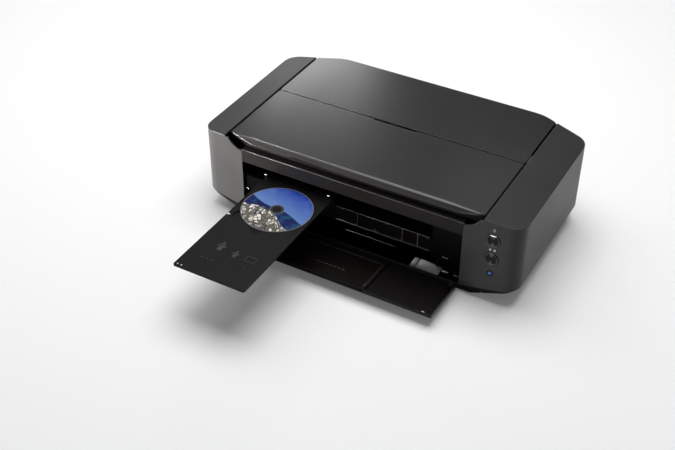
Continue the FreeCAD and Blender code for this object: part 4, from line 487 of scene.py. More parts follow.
# %% Plastics of the covers, the opening and the tray
FINISH = {
    "casing": moulded("satin black casing", (0.0225, 0.0213, 0.0207), 0.40, relief=0.000008,
                      edge=0.0005, specular=0.25),
    "top_strip": moulded("satin black top strip", (0.0185, 0.0175, 0.0170), 0.36,
                         relief=0.000006, edge=0.0005, specular=0.3),
    "top_panel": moulded("black lid", (0.0170, 0.0160, 0.0155), 0.25, relief=0.0,
                         edge=0.0005, spread=0.0),
    "bar_plastic": moulded("semi-gloss black bar", (0.0050, 0.0042, 0.0039), 0.34, relief=0.0,
                           edge=0.0004, spread=0.02, specular=0.15),
    "inner_plastic": moulded("dark inner moulding", (0.0030, 0.0019, 0.0015), 0.45,
                             relief=0.00001, specular=0.10),
    "tray_plastic": moulded("black tray moulding", (0.0065, 0.0059, 0.0058), 0.42, grain=1800.0,
                            relief=0.000008, specular=0.09),
}
print(len(FINISH), "plastics on the outside")

# %% Plastics, rubbers and inks inside
FINISH.update({
    "grey_plastic": moulded("grey moulding", (0.26, 0.265, 0.27), 0.45, wear=(0.5, 0.5, 0.5)),
    "white_plastic": moulded("natural acetal", (0.74, 0.73, 0.69), 0.38, wear=(0.85, 0.85, 0.8)),
    "button_gloss": moulded("turned black button", (0.008, 0.008, 0.009), 0.16, relief=0.0),
    "roller_rubber": moulded("roller rubber", (0.030, 0.030, 0.030), 0.72, grain=5200.0),
    "belt_rubber": moulded("belt rubber", (0.016, 0.016, 0.016), 0.66),
    "foot_rubber": moulded("foot rubber", (0.024, 0.024, 0.024), 0.78, grain=4200.0),
    "supply_case": moulded("coated steel case", (0.07, 0.07, 0.075), 0.5),
    "felt_pad": moulded("absorbent felt", (0.62, 0.61, 0.57), 0.95, grain=900.0, relief=0.0004),
    "board_green": moulded("circuit board", (0.02, 0.11, 0.045), 0.35),
})
INKS = {"black": (0.03, 0.03, 0.034), "grey": (0.28, 0.29, 0.31), "cyan": (0.01, 0.33, 0.58),
        "magenta": (0.52, 0.02, 0.20), "yellow": (0.76, 0.55, 0.02)}
for ink, colour in INKS.items():
    FINISH["ink_" + ink] = moulded("ink tank " + ink, colour, 0.22, spread=0.02, coat=0.4)
print(len(FINISH), "plastics in all")

# %% [markdown]
# ## Metals
# The chassis is zinc-plated sheet with the faint lines of the rolling mill, and the carriage runs
# on a ground bar with lines round it. A picture of brushed steel would need unwrapped surfaces. A
# noise that is stretched along one axis gives the same lines from the place on the part alone.

# %% Metals
LINE_SCALE, LINE_BUMP = 60.0, 0.4


def metal(name, colour, roughness, stretch, relief):
    """Rolled or ground steel: fine lines along the work, a cloud in the gloss."""
    material, tree, shader = blank_material(name)
    place = add_node(tree, "Mapping", Vector=object_place(tree), Scale=stretch).outputs[0]
    lines = noise(tree, place, LINE_SCALE, 4.0, 0.65)
    bump = add_node(tree, "Bump", Strength=LINE_BUMP, Distance=relief, Height=lines)
    tree.links.new(bump.outputs[0], shader["Normal"])
    tone = ramp(tree, lines, CLOUD_LOW, shade(colour, 0.86), CLOUD_HIGH, colour)
    tree.links.new(tone, shader["Base Color"])
    rough = math_node(tree, "MULTIPLY_ADD", lines, 0.2, roughness - 0.1)
    tree.links.new(rough, shader["Roughness"])
    shader["Metallic"].default_value = 1.0
    return material


FINISH["steel_sheet"] = metal("zinc-plated sheet", (0.52, 0.53, 0.54), 0.38, (1, 1, 18), 0.00002)
FINISH["steel_bar"] = metal("ground steel bar", (0.62, 0.62, 0.62), 0.18, (40, 1, 1), 0.000004)
print("metals:", FINISH["steel_sheet"].name, "and", FINISH["steel_bar"].name)

# %% [markdown]
# ## Lit parts of the panel
# The white bar in the power button and the round blue lamp are clear lenses over small lamps. A
# lamp object behind each would have to shine through the lens. Letting the lens itself give off a
# little light looks the same from outside, and needs no lamp.

# %% Lit lenses


def glowing(name, colour, glow, strength):
    """A lens that gives off a little light."""
    material, tree, shader = blank_material(name)
    speck = noise(tree, object_place(tree), 900.0, 1.0)
    tone = ramp(tree, speck, CLOUD_LOW, shade(colour, 0.94), CLOUD_HIGH, colour)
    tree.links.new(tone, shader["Base Color"])
    shader["Roughness"].default_value = 0.22
    shader["Emission Color"].default_value = (*glow, 1)
    shader["Emission Strength"].default_value = strength
    return material


FINISH["light_white"] = glowing("lit light bar", (0.8, 0.82, 0.85), (0.95, 0.98, 1.0), 0.9)
FINISH["lamp_blue"] = glowing("lit blue lamp", (0.012, 0.03, 0.12), (0.05, 0.14, 0.55), 0.30)
print("lit:", FINISH["light_white"].name, "and", FINISH["lamp_blue"].name)

# %% [markdown]
# ## The printed disc
# The print is worked out from the place on the disc, so it needs no picture. Distances from the
# middle give the rings: the clear hub, the mirror ring and the bare rim. Inside the printed band,
# two wavy lines part an evening sky, a dark sea and a shore of pale pebbles. The shapes are one
# node group, and the material only gives them their colours.

# %% Places on the disc
DISC_LOW, DISC_HIGH = (Vector(corner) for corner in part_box("disc"))
DISC_MIDDLE = (DISC_LOW + DISC_HIGH) / 2
DISC_RADIUS = (DISC_HIGH.x - DISC_LOW.x) / 2


def place_from(tree, middle, unit=1.0):
    """A Mapping node that measures the place on the object from a middle, in some unit."""
    made = add_node(tree, "Mapping", Vector=object_place(tree), Location=middle,
                    Scale=(unit,) * 3)
    made.vector_type = "TEXTURE"
    return made


def disc_place(group, turn):
    """The place on the disc in radii from its middle, turned by an angle."""
    place = place_from(group, DISC_MIDDLE, DISC_RADIUS)
    spin = add_node(group, "CombineXYZ", Z=turn)
    group.links.new(spin.outputs[0], place.inputs["Rotation"])
    return place.outputs[0]


print("the disc is", round(2 * DISC_RADIUS / MM), "mm across")

# %% Shapes of the print
# Each line's name, height, swing, pace across the disc, and start.
WAVY_LINES = (("Sea", 0.02, 0.05, 4.2, 0.4), ("Shore", -0.30, 0.17, 3.1, 2.1))
LINE_SOFT = 0.02
PEBBLE_SCALE, PEBBLE_GAP_WIDTH = 8.5, 0.05


def pebbles(group, place):
    """A mask of pebbles with gaps between them, and a shade for each."""
    gaps = add_node(group, "TexVoronoi", Vector=place, Scale=PEBBLE_SCALE)
    gaps.feature = "DISTANCE_TO_EDGE"
    cells = add_node(group, "TexVoronoi", Vector=place, Scale=PEBBLE_SCALE)
    tint = add_node(group, "SeparateColor", Color=cells.outputs["Color"])
    stones = step_up(group, gaps.outputs["Distance"], PEBBLE_GAP_WIDTH, PEBBLE_GAP_WIDTH)
    return stones, tint.outputs[0]


def build_print_map():
    """Distance from the middle, two wavy lines, pebbles and their shades, and clouds."""
    group, given, out = new_group(
        "Disc Print Map", [("Turn", FLOAT, 0.0)],
        [("Radius", FLOAT), ("Height", FLOAT), ("Sea", FLOAT), ("Shore", FLOAT),
         ("Pebble", FLOAT), ("Shade", FLOAT), ("Cloud", FLOAT)])
    place = disc_place(group, given["Turn"])
    split = add_node(group, "SeparateXYZ", Vector=place).outputs
    across, height = split["X"], split["Y"]
    squares = math_node(group, "ADD", math_node(group, "MULTIPLY", across, across),
                        math_node(group, "MULTIPLY", height, height))
    group.links.new(math_node(group, "POWER", squares, 0.5), out["Radius"])
    group.links.new(height, out["Height"])
    for label, level, swing, pace, start in WAVY_LINES:
        wave = math_node(group, "SINE", math_node(group, "MULTIPLY_ADD", across, pace, start))
        line = math_node(group, "MULTIPLY_ADD", wave, swing, level)
        group.links.new(step_up(group, line, height, LINE_SOFT), out[label])
    for label, value in zip(("Pebble", "Shade"), pebbles(group, place)):
        group.links.new(value, out[label])
    group.links.new(noise(group, place, 3.2, 4.0, 0.6), out["Cloud"])
    return group


PRINT_MAP = build_print_map()
print(PRINT_MAP.name, "has", len(PRINT_MAP.nodes), "nodes")

# %% Colours of the print
SKY_TOP, SKY_LOW, HAZE = (0.012, 0.040, 0.32), (0.105, 0.195, 0.44), (0.22, 0.32, 0.52)
SEA, SEA_PALE = (0.006, 0.012, 0.085), (0.010, 0.055, 0.13)
PEBBLE_GAP, PEBBLE_DARK = (0.025, 0.032, 0.055), (0.14, 0.13, 0.09)
PEBBLE_PALE = (0.80, 0.75, 0.66)
POLYCARBONATE, MIRROR_RING = (0.045, 0.043, 0.04), (0.16, 0.165, 0.175)
# Rings, in radii of the disc.
HUB_EDGE, PRINT_START, PRINT_END, RING_SOFT = 0.185, 0.20, 0.975, 0.008
PRINT_TURN = math.radians(-14)
LACQUER_ROUGHNESS, BARE_SMOOTHER = 0.34, -0.14


def landscape(tree, shape):
    """Sky, sea and shore, one over the other."""
    sky = colour_mix(tree, step_up(tree, shape["Height"], 0.0, 0.95), SKY_LOW, SKY_TOP)
    haze = math_node(tree, "MULTIPLY", step_up(tree, shape["Cloud"], 0.5, 0.4), 0.35)
    sky = colour_mix(tree, haze, sky, HAZE)
    sea = colour_mix(tree, step_up(tree, shape["Cloud"], 0.52, 0.08), SEA, SEA_PALE)
    stone = colour_mix(tree, step_up(tree, shape["Shade"], 0.35, 0.3), PEBBLE_DARK, PEBBLE_PALE)
    shore = colour_mix(tree, shape["Pebble"], PEBBLE_GAP, stone)
    return colour_mix(tree, shape["Shore"], colour_mix(tree, shape["Sea"], sky, sea), shore)


def printed_disc():
    """A lacquered print with a clear clamping ring and a bare rim."""
    material, tree, shader = blank_material("printed disc")
    shape = use_group(tree, PRINT_MAP, Turn=PRINT_TURN)
    past = {edge: step_up(tree, shape["Radius"], edge, RING_SOFT)
            for edge in (HUB_EDGE, PRINT_START, PRINT_END)}
    rings = colour_mix(tree, past[HUB_EDGE], POLYCARBONATE, MIRROR_RING)
    inner = colour_mix(tree, past[PRINT_START], rings, landscape(tree, shape))
    whole = colour_mix(tree, past[PRINT_END], inner, MIRROR_RING)
    tree.links.new(whole, shader["Base Color"])
    bare = math_node(tree, "SUBTRACT", 1.0, past[PRINT_START])
    rough = math_node(tree, "MULTIPLY_ADD", bare, BARE_SMOOTHER, LACQUER_ROUGHNESS)
    tree.links.new(rough, shader["Roughness"])
    shader["Specular IOR Level"].default_value = 0.13
    return material


FINISH["disc_print"] = printed_disc()
print("disc:", FINISH["disc_print"].name)

# %% [markdown]
# ## Turned faces
# The buttons were turned, so their gloss runs round in rings and a lamp shows in it as a wedge.
# An anisotropic shader gives that once its tangent goes round the button's middle, and a faint
# paler wedge of painted highlight in the colour keeps it readable at this small size.

# %% Button faces
RING_PACE = 9000.0
HIGHLIGHT_WEDGE_EDGE, HIGHLIGHT_WEDGE_SOFT, HIGHLIGHT_WEDGE_STRENGTH = 0.84, 0.14, 0.75
PAINTED_HIGHLIGHT_TONE = (0.10, 0.098, 0.095)
MIDDLE_GUARD = 0.0004


def turned(name, node, colour):
    """Black plastic turned about the middle of a node whose axis is Y, with a painted highlight
    wedge.
    """
    material, tree, shader = blank_material(name)
    low, high = (Vector(corner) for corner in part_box(node))
    place = place_from(tree, (low + high) / 2).outputs[0]
    split = add_node(tree, "SeparateXYZ", Vector=place).outputs
    round_way = add_node(tree, "CombineXYZ", X=split["Z"],
                         Z=math_node(tree, "MULTIPLY", split["X"], -1.0)).outputs[0]
    away = length(tree, round_way)
    rings = math_node(tree, "SINE", math_node(tree, "MULTIPLY", away, RING_PACE))
    tone = ramp(tree, math_node(tree, "MULTIPLY_ADD", rings, 0.5, 0.5), CLOUD_LOW,
                shade(colour, 0.9), CLOUD_HIGH, colour)
    upright = math_node(tree, "ABSOLUTE", math_node(
        tree, "DIVIDE", split["Z"], math_node(tree, "ADD", away, MIDDLE_GUARD)))
    # A paler wedge above and below the middle is painted highlight, standing in for a lamp's gloss.
    highlight_wedge = math_node(tree, "MULTIPLY", step_up(tree, upright, HIGHLIGHT_WEDGE_EDGE, HIGHLIGHT_WEDGE_SOFT),
                       HIGHLIGHT_WEDGE_STRENGTH)
    tree.links.new(colour_mix(tree, highlight_wedge, tone, PAINTED_HIGHLIGHT_TONE), shader["Base Color"])
    tree.links.new(round_way, shader["Tangent"])
    tree.links.new(math_node(tree, "MULTIPLY_ADD", rings, 0.02, 0.20), shader["Roughness"])
    shader["Anisotropic"].default_value = 0.85
    shader["Specular IOR Level"].default_value = 0.15
    return material


BUTTONS = ("power_button", "resume_button")
for button in BUTTONS:
    FINISH[button] = turned(button.replace("_", " ") + " face", button, (0.002, 0.002, 0.002))
    print(FINISH[button].name)

# %% [markdown]
# ## Dressing the CAD parts
# Each CAD part names the material slot that it was drawn with, and most finishes carry that name.
# A few parts need a finish of their own: the strips beside the lids are duller than the lids, and
# each button turns about its own middle. The meshes are left as they came.

# %% Give every CAD part its finish
OWN_FINISH = {"left_top_panel": "top_strip", "right_top_panel": "top_strip",
              **{button: button for button in BUTTONS}}


def dress(frame_record):
    """Put each CAD part's finish in its material slot."""
    for row in frame_record["subparts"]:
        mesh = NODES[row["node"]].data
        mesh.materials.clear()
        mesh.materials.append(FINISH[OWN_FINISH.get(row["node"], row["material_slot"])])
    return len(frame_record["subparts"])


print(dress(frame["record"]), "CAD parts dressed")

# %% [markdown]
# ## Small pieces
# The CAD holds every part that carries or moves. What is left is what a printer's maker would mould
# or print on those parts: marks that line up the tray, ribs on the ledge, icons, a blank label,
# latches and collars. Each is a little solid that stands a fraction of a millimetre proud of its
# part, and rides on that part's body. Sizes are in millimetres, as a maker would give them.
# Some pieces paint light: near-black patches stand for the shade of hollows, and paler beads and
# fittings for highlights.

# %% Rounding, joining and blocks
ROUNDING_STEPS = 2


def rounded(bm, edges, width):
    """Round some edges of a mesh."""
    bmesh.ops.bevel(bm, geom=list(edges), offset=width * MM, offset_type="OFFSET",
                    affect="EDGES", segments=ROUNDING_STEPS, profile=0.5, material=-1)


def join(bm, part):
    """Add one small mesh to a larger one."""
    mesh = bpy.data.meshes.new("part")
    part.to_mesh(mesh)
    part.free()
    bm.from_mesh(mesh)
    bpy.data.meshes.remove(mesh)


def block(bm, low, high, round_off=0.0):
    """A box between two corners, with its edges rounded."""
    part = bmesh.new()
    low, high = Vector(low) * MM, Vector(high) * MM
    move = Matrix.Translation((low + high) / 2) @ Matrix.Diagonal((*(high - low), 1))
    bmesh.ops.create_cube(part, size=1.0, matrix=move)
    if round_off:
        rounded(part, part.edges, round_off)
    join(bm, part)


sample = bmesh.new()
block(sample, (0, 0, 0), (10, 10, 10), 1)
print("a rounded block has", len(sample.faces), "faces")
sample.free()

# %% Slabs and arcs


def slab(bm, outline, start, end, flat="z", round_off=0.0):
    """A flat shape of any outline, with a thickness along z, or along y."""
    part = bmesh.new()

    def at(first, second, level):
        return Vector((first, second, level) if flat == "z" else (first, level, second)) * MM

    face = part.faces.new([part.verts.new(at(*point, start)) for point in outline])
    lifted = bmesh.ops.extrude_face_region(part, geom=[face])["geom"]
    top = [item for item in lifted if isinstance(item, bmesh.types.BMVert)]
    bmesh.ops.translate(part, vec=at(0, 0, end - start), verts=top)
    bmesh.ops.recalc_face_normals(part, faces=part.faces)
    if round_off:
        rounded(part, [e for e in part.edges if set(e.verts) <= set(top)], round_off)
    join(bm, part)


def arc(x, y, radius, start, sweep, steps):
    """Points along part of a circle; its angles are in degrees."""
    turns = [math.radians(start + sweep * k / steps) for k in range(steps + 1)]
    return [(x + radius * math.cos(a), y + radius * math.sin(a)) for a in turns]


def bent_strip(x, y, outer, inner, *turn):
    """The outline of a strip bent round a place, between two radii."""
    return arc(x, y, outer, *turn) + arc(x, y, inner, *turn)[::-1]


print("a quarter turn in 12 steps has", len(arc(0, 0, 1, 0, 90, 12)), "points")

# %% Turned solids
TURNING = {"z": (Vector((1, 0, 0)), Vector((0, 0, 1))), "y": (Vector((0, 0, 1)), Vector((0, 1, 0)))}
SAME_PLACE = 1e-7


def turned_solid(bm, middle, profile, axis, steps=48):
    """A closed profile of (radius, height) pairs, spun once about an axis."""
    part = bmesh.new()
    out, along = TURNING[axis]
    centre = Vector(middle) * MM
    ring = [part.verts.new(centre + out * r * MM + along * h * MM) for r, h in profile]
    edges = [part.edges.new(pair) for pair in zip(ring, ring[1:])]
    bmesh.ops.spin(part, geom=ring + edges, cent=centre, axis=along, angle=2 * math.pi,
                   steps=steps, use_merge=True, use_duplicate=False)
    bmesh.ops.remove_doubles(part, verts=part.verts, dist=SAME_PLACE)
    bmesh.ops.holes_fill(part, edges=[e for e in part.edges if e.is_boundary], sides=steps)
    bmesh.ops.recalc_face_normals(part, faces=part.faces)
    join(bm, part)


print("turned about", " or ".join(TURNING))

# %% From a mesh to a piece
SMOOTH_ANGLE = math.radians(35)
MADE = []


def corner(node, which):
    """The lowest (0) or highest (1) corner of a CAD node."""
    return Vector(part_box(node)[which]) / MM


def piece(name, bm, finish, body):
    """Turn a mesh into an object that wears a finish and rides on a body."""
    mesh = bpy.data.meshes.new(name)
    bm.to_mesh(mesh)
    bm.free()
    mesh.shade_smooth()
    mesh.set_sharp_from_angle(angle=SMOOTH_ANGLE)
    made = bpy.data.objects.new(name, mesh)
    SCENE.collection.objects.link(made)
    if body not in SHADED_PARTS:
        PANEL_LIT.objects.link(made)
    mesh.materials.append(finish)
    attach(made, body)
    MADE.append(name)
    return made


print("the tray's top is at", round(corner("disc_tray", 1).z, 2), "mm")

# %% Pieces made of blocks, or of one slab


def block_piece(name, finish, body, rows):
    """A piece made of blocks; each row has two corners and how far the edges are rounded."""
    bm = bmesh.new()
    for row in rows:
        block(bm, *row)
    return piece(name, bm, finish, body)


def slab_piece(name, finish, body, *shape):
    """A piece made of one slab."""
    bm = bmesh.new()
    slab(bm, *shape)
    return piece(name, bm, finish, body)


print("pieces so far:", len(MADE))

# %% [markdown]
# ## Finishes of the small pieces
# White marks, ribs and hollows each need a tone of their own, so that a shape half a millimetre
# high still reads: the ribs are paler as painted highlight, and the hollows are near-black as
# painted shade. They are the same moulded plastic with other numbers. Most have no grain, because
# on a mark this small it would look like dirt.

# %% Finishes of the small pieces
MARK_WHITE = moulded("white mark ink", (0.62, 0.61, 0.59), 0.5, relief=0.0)
MARK_GREY = moulded("grey icon ink", (0.42, 0.415, 0.41), 0.5, relief=0.0)
# Ribs and beads are paler than the black plastic round them: their tone is painted highlight.
HIGHLIGHT_RIB = moulded("rib paled as painted highlight", (0.070, 0.065, 0.061), 0.22, relief=0.0, spread=0.02)
RELIEF = moulded("raised tray relief", (0.0095, 0.0088, 0.0086), 0.34, relief=0.0, spread=0.02,
                 specular=0.25)
# Near-black painted shade, for the hollows and slots of the tray and the ring round the lamp.
HOLLOW_SHADE_BLACK = moulded("near-black painted hollow shade", (0.0015, 0.0012, 0.0010), 0.6, relief=0.0, specular=0.1)
LABEL = moulded("blank label", (0.55, 0.55, 0.545), 0.55, grain=900.0)
LATCH = moulded("latch blue", (0.02, 0.06, 0.20), 0.38)
# The fittings' pale tone is a painted glint.
GLINT_FITTING = moulded("hinge fitting with painted glint", (0.16, 0.125, 0.115), 0.30, relief=0.0, spread=0.02)
FILM = moulded("encoder film", (0.30, 0.31, 0.32), 0.20, relief=0.0, spread=0.02)
print(len(bpy.data.materials), "materials in all")

# %% [markdown]
# ## Tray
# The tray carries the disc into the printer. A hub centres the disc, a recess lets a thumb lift it,
# and raised arrows say which way it goes in. On the real tray all of it is moulded. Recesses could
# be cut with a boolean, but the CAD parts keep their meshes, so a hollow is a thin patch painted
# near-black as painted shade, and a raised shape is a thin solid whose foot is sunk into the tray.

# %% Tray: the hub and its three claws
SUNK = 0.1
TRAY_LEFT, TRAY_FRONT, TRAY_TOP = (*corner("disc_tray", 0).xy, corner("disc_tray", 1).z)
HUB = DISC_MIDDLE / MM
HUB_PROFILE = [(0, -0.5), (1.6, -0.5), (1.9, -0.1), (4.0, -0.1), (4.6, -0.5), (6.2, -0.5),
               (6.6, -0.9), (6.6, -1.1), (0, -1.1)]
CLAW_ANGLES, CLAW_PLACE, CLAW_HALF = (30, 150, 270), 5.2, 0.9

# The hub and its claws wear the paler rib tone, a painted highlight on their steps.
hub = bmesh.new()
turned_solid(hub, (HUB.x, HUB.y, TRAY_TOP), HUB_PROFILE, "z")
for angle in CLAW_ANGLES:
    x = HUB.x + CLAW_PLACE * math.cos(math.radians(angle))
    y = HUB.y + CLAW_PLACE * math.sin(math.radians(angle))
    block(hub, (x - CLAW_HALF, y - CLAW_HALF, TRAY_TOP - 0.9),
          (x + CLAW_HALF, y + CLAW_HALF, TRAY_TOP - 0.15), 0.2)
print(piece("disc_hub", hub, HIGHLIGHT_RIB, "disc_tray").name, "is", 2 * HUB_PROFILE[-2][0], "mm across")

# %% Tray: the thumb recess
THUMB_RADIUS, THUMB_BACK = 11.5, 0.6
THUMB_EDGE = HUB.y - DISC_RADIUS / MM - THUMB_BACK

# The recess is a thin near-black patch: painted shade of the hollow.
slab_piece("thumb_recess", HOLLOW_SHADE_BLACK, "disc_tray",
           arc(HUB.x, THUMB_EDGE, THUMB_RADIUS, 180, 180, 24), TRAY_TOP - SUNK, TRAY_TOP + 0.06)
print("the thumb recess is", THUMB_RADIUS, "mm deep")

# %% Tray: raised arrows
# Each arrow: the middle of its neck, and its size.
ARROWS = ((-128, -226, 20), (-98, -232, 15))
CHEVRONS, CHEVRON_Y = (-140, -131, -122), -262

relief = bmesh.new()
for x, y, size in ARROWS:
    half, stem = size * 0.5, size * 0.2
    slab(relief, [(x - half, y), (x, y + size * 0.62), (x + half, y), (x + stem, y),
                  (x + stem, y - half), (x - stem, y - half), (x - stem, y)],
         TRAY_TOP - SUNK, TRAY_TOP + 0.22, round_off=0.08)
for x in CHEVRONS:
    slab(relief, [(x + across, CHEVRON_Y + along) for across, along in
                  ((-3, 0), (0, 3), (3, 0), (3, -2.2), (0, 0.8), (-3, -2.2))],
         TRAY_TOP - SUNK, TRAY_TOP + 0.18)
print(len(ARROWS), "arrows and", len(CHEVRONS), "chevrons,", len(relief.faces), "faces")

# %% Tray: a raised frame and a bow, one piece with the arrows
FRAME_BARS = (((-79, -226), (-60, -224.6)), ((-79, -238), (-60, -236.6)),
              ((-78.9, -236.9), (-77.5, -225.7)), ((-61.5, -236.9), (-60.1, -225.7)))

for low, high in FRAME_BARS:
    block(relief, (*low, TRAY_TOP - SUNK), (*high, TRAY_TOP + 0.2), 0.1)
slab(relief, bent_strip(-62, -246, 10, 9, 200, 110, 12), TRAY_TOP - SUNK, TRAY_TOP + 0.2)
print("tray relief", piece("tray_relief", relief, RELIEF, "disc_tray").dimensions[:])

# %% Tray: slots and pointer
SLOT_HALF, SLOT_START, SLOT_END = 1.3, TRAY_FRONT + 17, TRAY_FRONT + 22

# The slots are thin near-black patches: painted shade of the holes.
block_piece("tray_slots", HOLLOW_SHADE_BLACK, "disc_tray",
            [((x - SLOT_HALF, SLOT_START, TRAY_TOP - SUNK),
              (x + SLOT_HALF, SLOT_END, TRAY_TOP + 0.05), 0.04)
             for x in (TRAY_LEFT + 21, TRAY_LEFT + 26.5)])
slab_piece("tray_pointer", MARK_WHITE, "disc_tray",
           [(TRAY_LEFT + 0.8, -146.0), (TRAY_LEFT + 0.8, -152.5), (TRAY_LEFT + 6.8, -149.2)],
           TRAY_TOP - SUNK, TRAY_TOP + 0.08)
print("tray pieces:", MADE)

# %% [markdown]
# ## Marks on the guide and the opening
# Two white dashes on the guide and a small arrowhead beside the opening show where the tray has to
# sit. They are pad-printed on the plastic. A picture on an unwrapped face could show them, but a
# thin solid of white ink has a true edge at any distance.

# %% White marks
GUIDE_FRONT, DASHES, DASH_HALF = corner("disc_guide", 0).y, (-169.6, -46.6), 1.9

block_piece("guide_marks", MARK_WHITE, "casing",
            [((x - DASH_HALF, GUIDE_FRONT - 0.25, 103.2),
              (x + DASH_HALF, GUIDE_FRONT + 0.1, 104.7), 0.1) for x in DASHES])
slab_piece("opening_mark", MARK_WHITE, "casing",
           [(-212.8, 55.2), (-208.4, 57.4), (-212.8, 59.6)], -26.25, -25.9, "y")
print("white marks:", MADE[-2:])

# %% [markdown]
# ## Ledge
# The ledge over the sheet exit has windows with a polished bead round them, and a row of short
# teeth that keep a sheet from clinging. Beads and teeth wear the paler rib tone, a painted
# highlight on their edges. The beads could be modelled one by one. A list of heights and a list of
# places across make the whole grid, and a pitch makes the teeth.

# %% Ledge: beads and teeth
PAD_DEPTH = 1.2
LEDGE_FACE = corner("sheet_ledge", 0).y + PAD_DEPTH  # the pads stand in front of the face
RAILS, POSTS = (84.9, 58.2), (-22, 6, 34, 62, 90, 118, 136)
BEAD_BACK, BEAD_FRONT, BEAD_HALF = LEDGE_FACE - 0.5, LEDGE_FACE + 0.2, 0.5
TEETH, TOOTH_START, TOOTH_PITCH, TOOTH_HALF = 22, 40, 4.3, 0.6

block_piece("ledge_beads", HIGHLIGHT_RIB, "casing",
            [((-34, BEAD_BACK, z - BEAD_HALF), (139, BEAD_FRONT, z + BEAD_HALF), 0.2)
             for z in RAILS]
            + [((x - BEAD_HALF, BEAD_BACK, 58.6), (x + BEAD_HALF, BEAD_FRONT, 84.5), 0.2)
               for x in POSTS])
teeth = [TOOTH_START + TOOTH_PITCH * index for index in range(TEETH)]
block_piece("ledge_teeth", HIGHLIGHT_RIB, "casing",
            [((x - TOOTH_HALF, LEDGE_FACE - 0.35, 60.2),
              (x + TOOTH_HALF, BEAD_FRONT, 64.8), 0.15) for x in teeth])
print(len(RAILS) + len(POSTS), "beads and", TEETH, "teeth")

# %% [markdown]
# ## Bay floor
# On the floor of the opening lie a paper label, a white stop for the sheet and a raised line. A
# label is paper, so its finish is coarser and paler than the plastics. It carries no words: a blank
# one in two fields reads as a label at this size.

# %% Bay floor: label, stop and line
BAY_FLOOR = 9.3
FOOT = BAY_FLOOR - SUNK

block_piece("blank_label", LABEL, "casing",
            [((start, -21.0, FOOT), (end, 3.0, BAY_FLOOR + 0.25), 0.1)
             for start, end in ((103, 112), (113.6, 155.5))])
block_piece("sheet_stop", MARK_WHITE, "casing",
            [((157.5, -9.0, FOOT), (168.5, -6.0, BAY_FLOOR + 0.8), 0.2)])
# The raised line wears the paler rib tone, a painted highlight.
block_piece("bay_line", HIGHLIGHT_RIB, "casing", [((-36, 10.4, FOOT), (61, 11.6, BAY_FLOOR + 0.5), 0.2)])
print("on the bay floor:", MADE[-3:])

# %% [markdown]
# ## Edges that catch the light
# A long moulding shows as one bright line where its edge is a little rounded. The bar over the
# opening and the crease of the lid have such a line. Rounding the CAD edge would change the part,
# so a thin bead lies along it instead, and its paler tone is a painted highlight.

# %% Bar and lid: two long beads of painted highlight
BAR_FACE, LID_TOP = corner("fascia_bar", 0).y, corner("top_cover", 1).z

block_piece("bar_highlight_bead", HIGHLIGHT_RIB, "casing",
            [((-205, BAR_FACE - 0.2, 139.6), (199, BAR_FACE + 0.3, 140.2), 0.15)])
block_piece("lid_crease_highlight_bead", HIGHLIGHT_RIB, "top_cover",
            [((-208, -16.2, LID_TOP - 0.8), (214, -15.75, LID_TOP - 0.06), 0.12)])
print("beads:", MADE[-2:])

# %% [markdown]
# ## Fittings beside the hinge
# A bent clip beside the hinge, a small stop above it and the catch on the cover's end are paler
# than the mouldings: their pale tone is a painted glint. A few rounded blocks are enough for them.

# %% Fittings and the cover's catch
block_piece("hinge_fittings", GLINT_FITTING, "casing",
            [((178.0, -9.6, FOOT), (186.0, -8.2, BAY_FLOOR + 1.6), 0.3),
             ((179.4, -8.6, FOOT), (180.8, -1.6, BAY_FLOOR + 2.4), 0.3),
             ((161.5, -22.3, 50.8), (171.5, -21.9, 52.2), 0.1)])
block_piece("cover_catch", GLINT_FITTING, "front_cover",
            [((190.9, -46.6, 19.6), (191.6, -44.6, 26.4), 0.2)])
print("fittings:", MADE[-2:])

# %% [markdown]
# ## Panel
# The panel has a power icon, two small marks by the resume button, a dark ring round the lamp and a
# thin collar round each button. The ring wears the near-black of painted shade, and the collars
# the paler tone of painted highlight. Icons are pad-printed, so they are thin slabs of grey ink.
# Rings are turned parts, so they are spun from a profile. A collar moves with its button.

# %% Panel: icons
PANEL_FACE = corner("right_side_cover", 0).y
INK_BACK, INK_FRONT = PANEL_FACE - 0.12, PANEL_FACE + 0.1

icons = bmesh.new()
slab(icons, bent_strip(248.0, 145.4, 2.5, 1.8, 120, -300, 20), INK_BACK, INK_FRONT, "y")
block(icons, (247.7, INK_BACK, 145.6), (248.3, INK_FRONT, 148.4), 0.04)
for outline in (arc(244.6, 107.3, 1.7, 0, 360, 24)[:-1],
                [(250.8, 105.6), (253.6, 105.6), (253.6, 109.0), (252.2, 110.2), (250.8, 109.0)]):
    slab(icons, outline, INK_BACK, INK_FRONT, "y")
print("icons", piece("panel_icons", icons, MARK_GREY, "casing").dimensions[:])

# %% Panel: a ring round the lamp, and a collar round each button
LAMP_RING = [(2.9, 0.0), (3.2, -0.28), (3.6, -0.4), (5.2, -0.4), (5.6, -0.25), (5.7, 0.0),
             (2.9, 0.0)]
COLLAR = [(-2.0, 0.05), (-1.7, -0.22), (-1.1, -0.22), (-0.8, 0.05), (-2.0, 0.05)]
FLANGE = 1.6  # a button's hidden flange is this much wider than its face


def seen_middle(node, y):
    """The middle of a node as seen from the front, at a depth."""
    low, high = corner(node, 0), corner(node, 1)
    return (low.x + high.x) / 2, y, (low.z + high.z) / 2


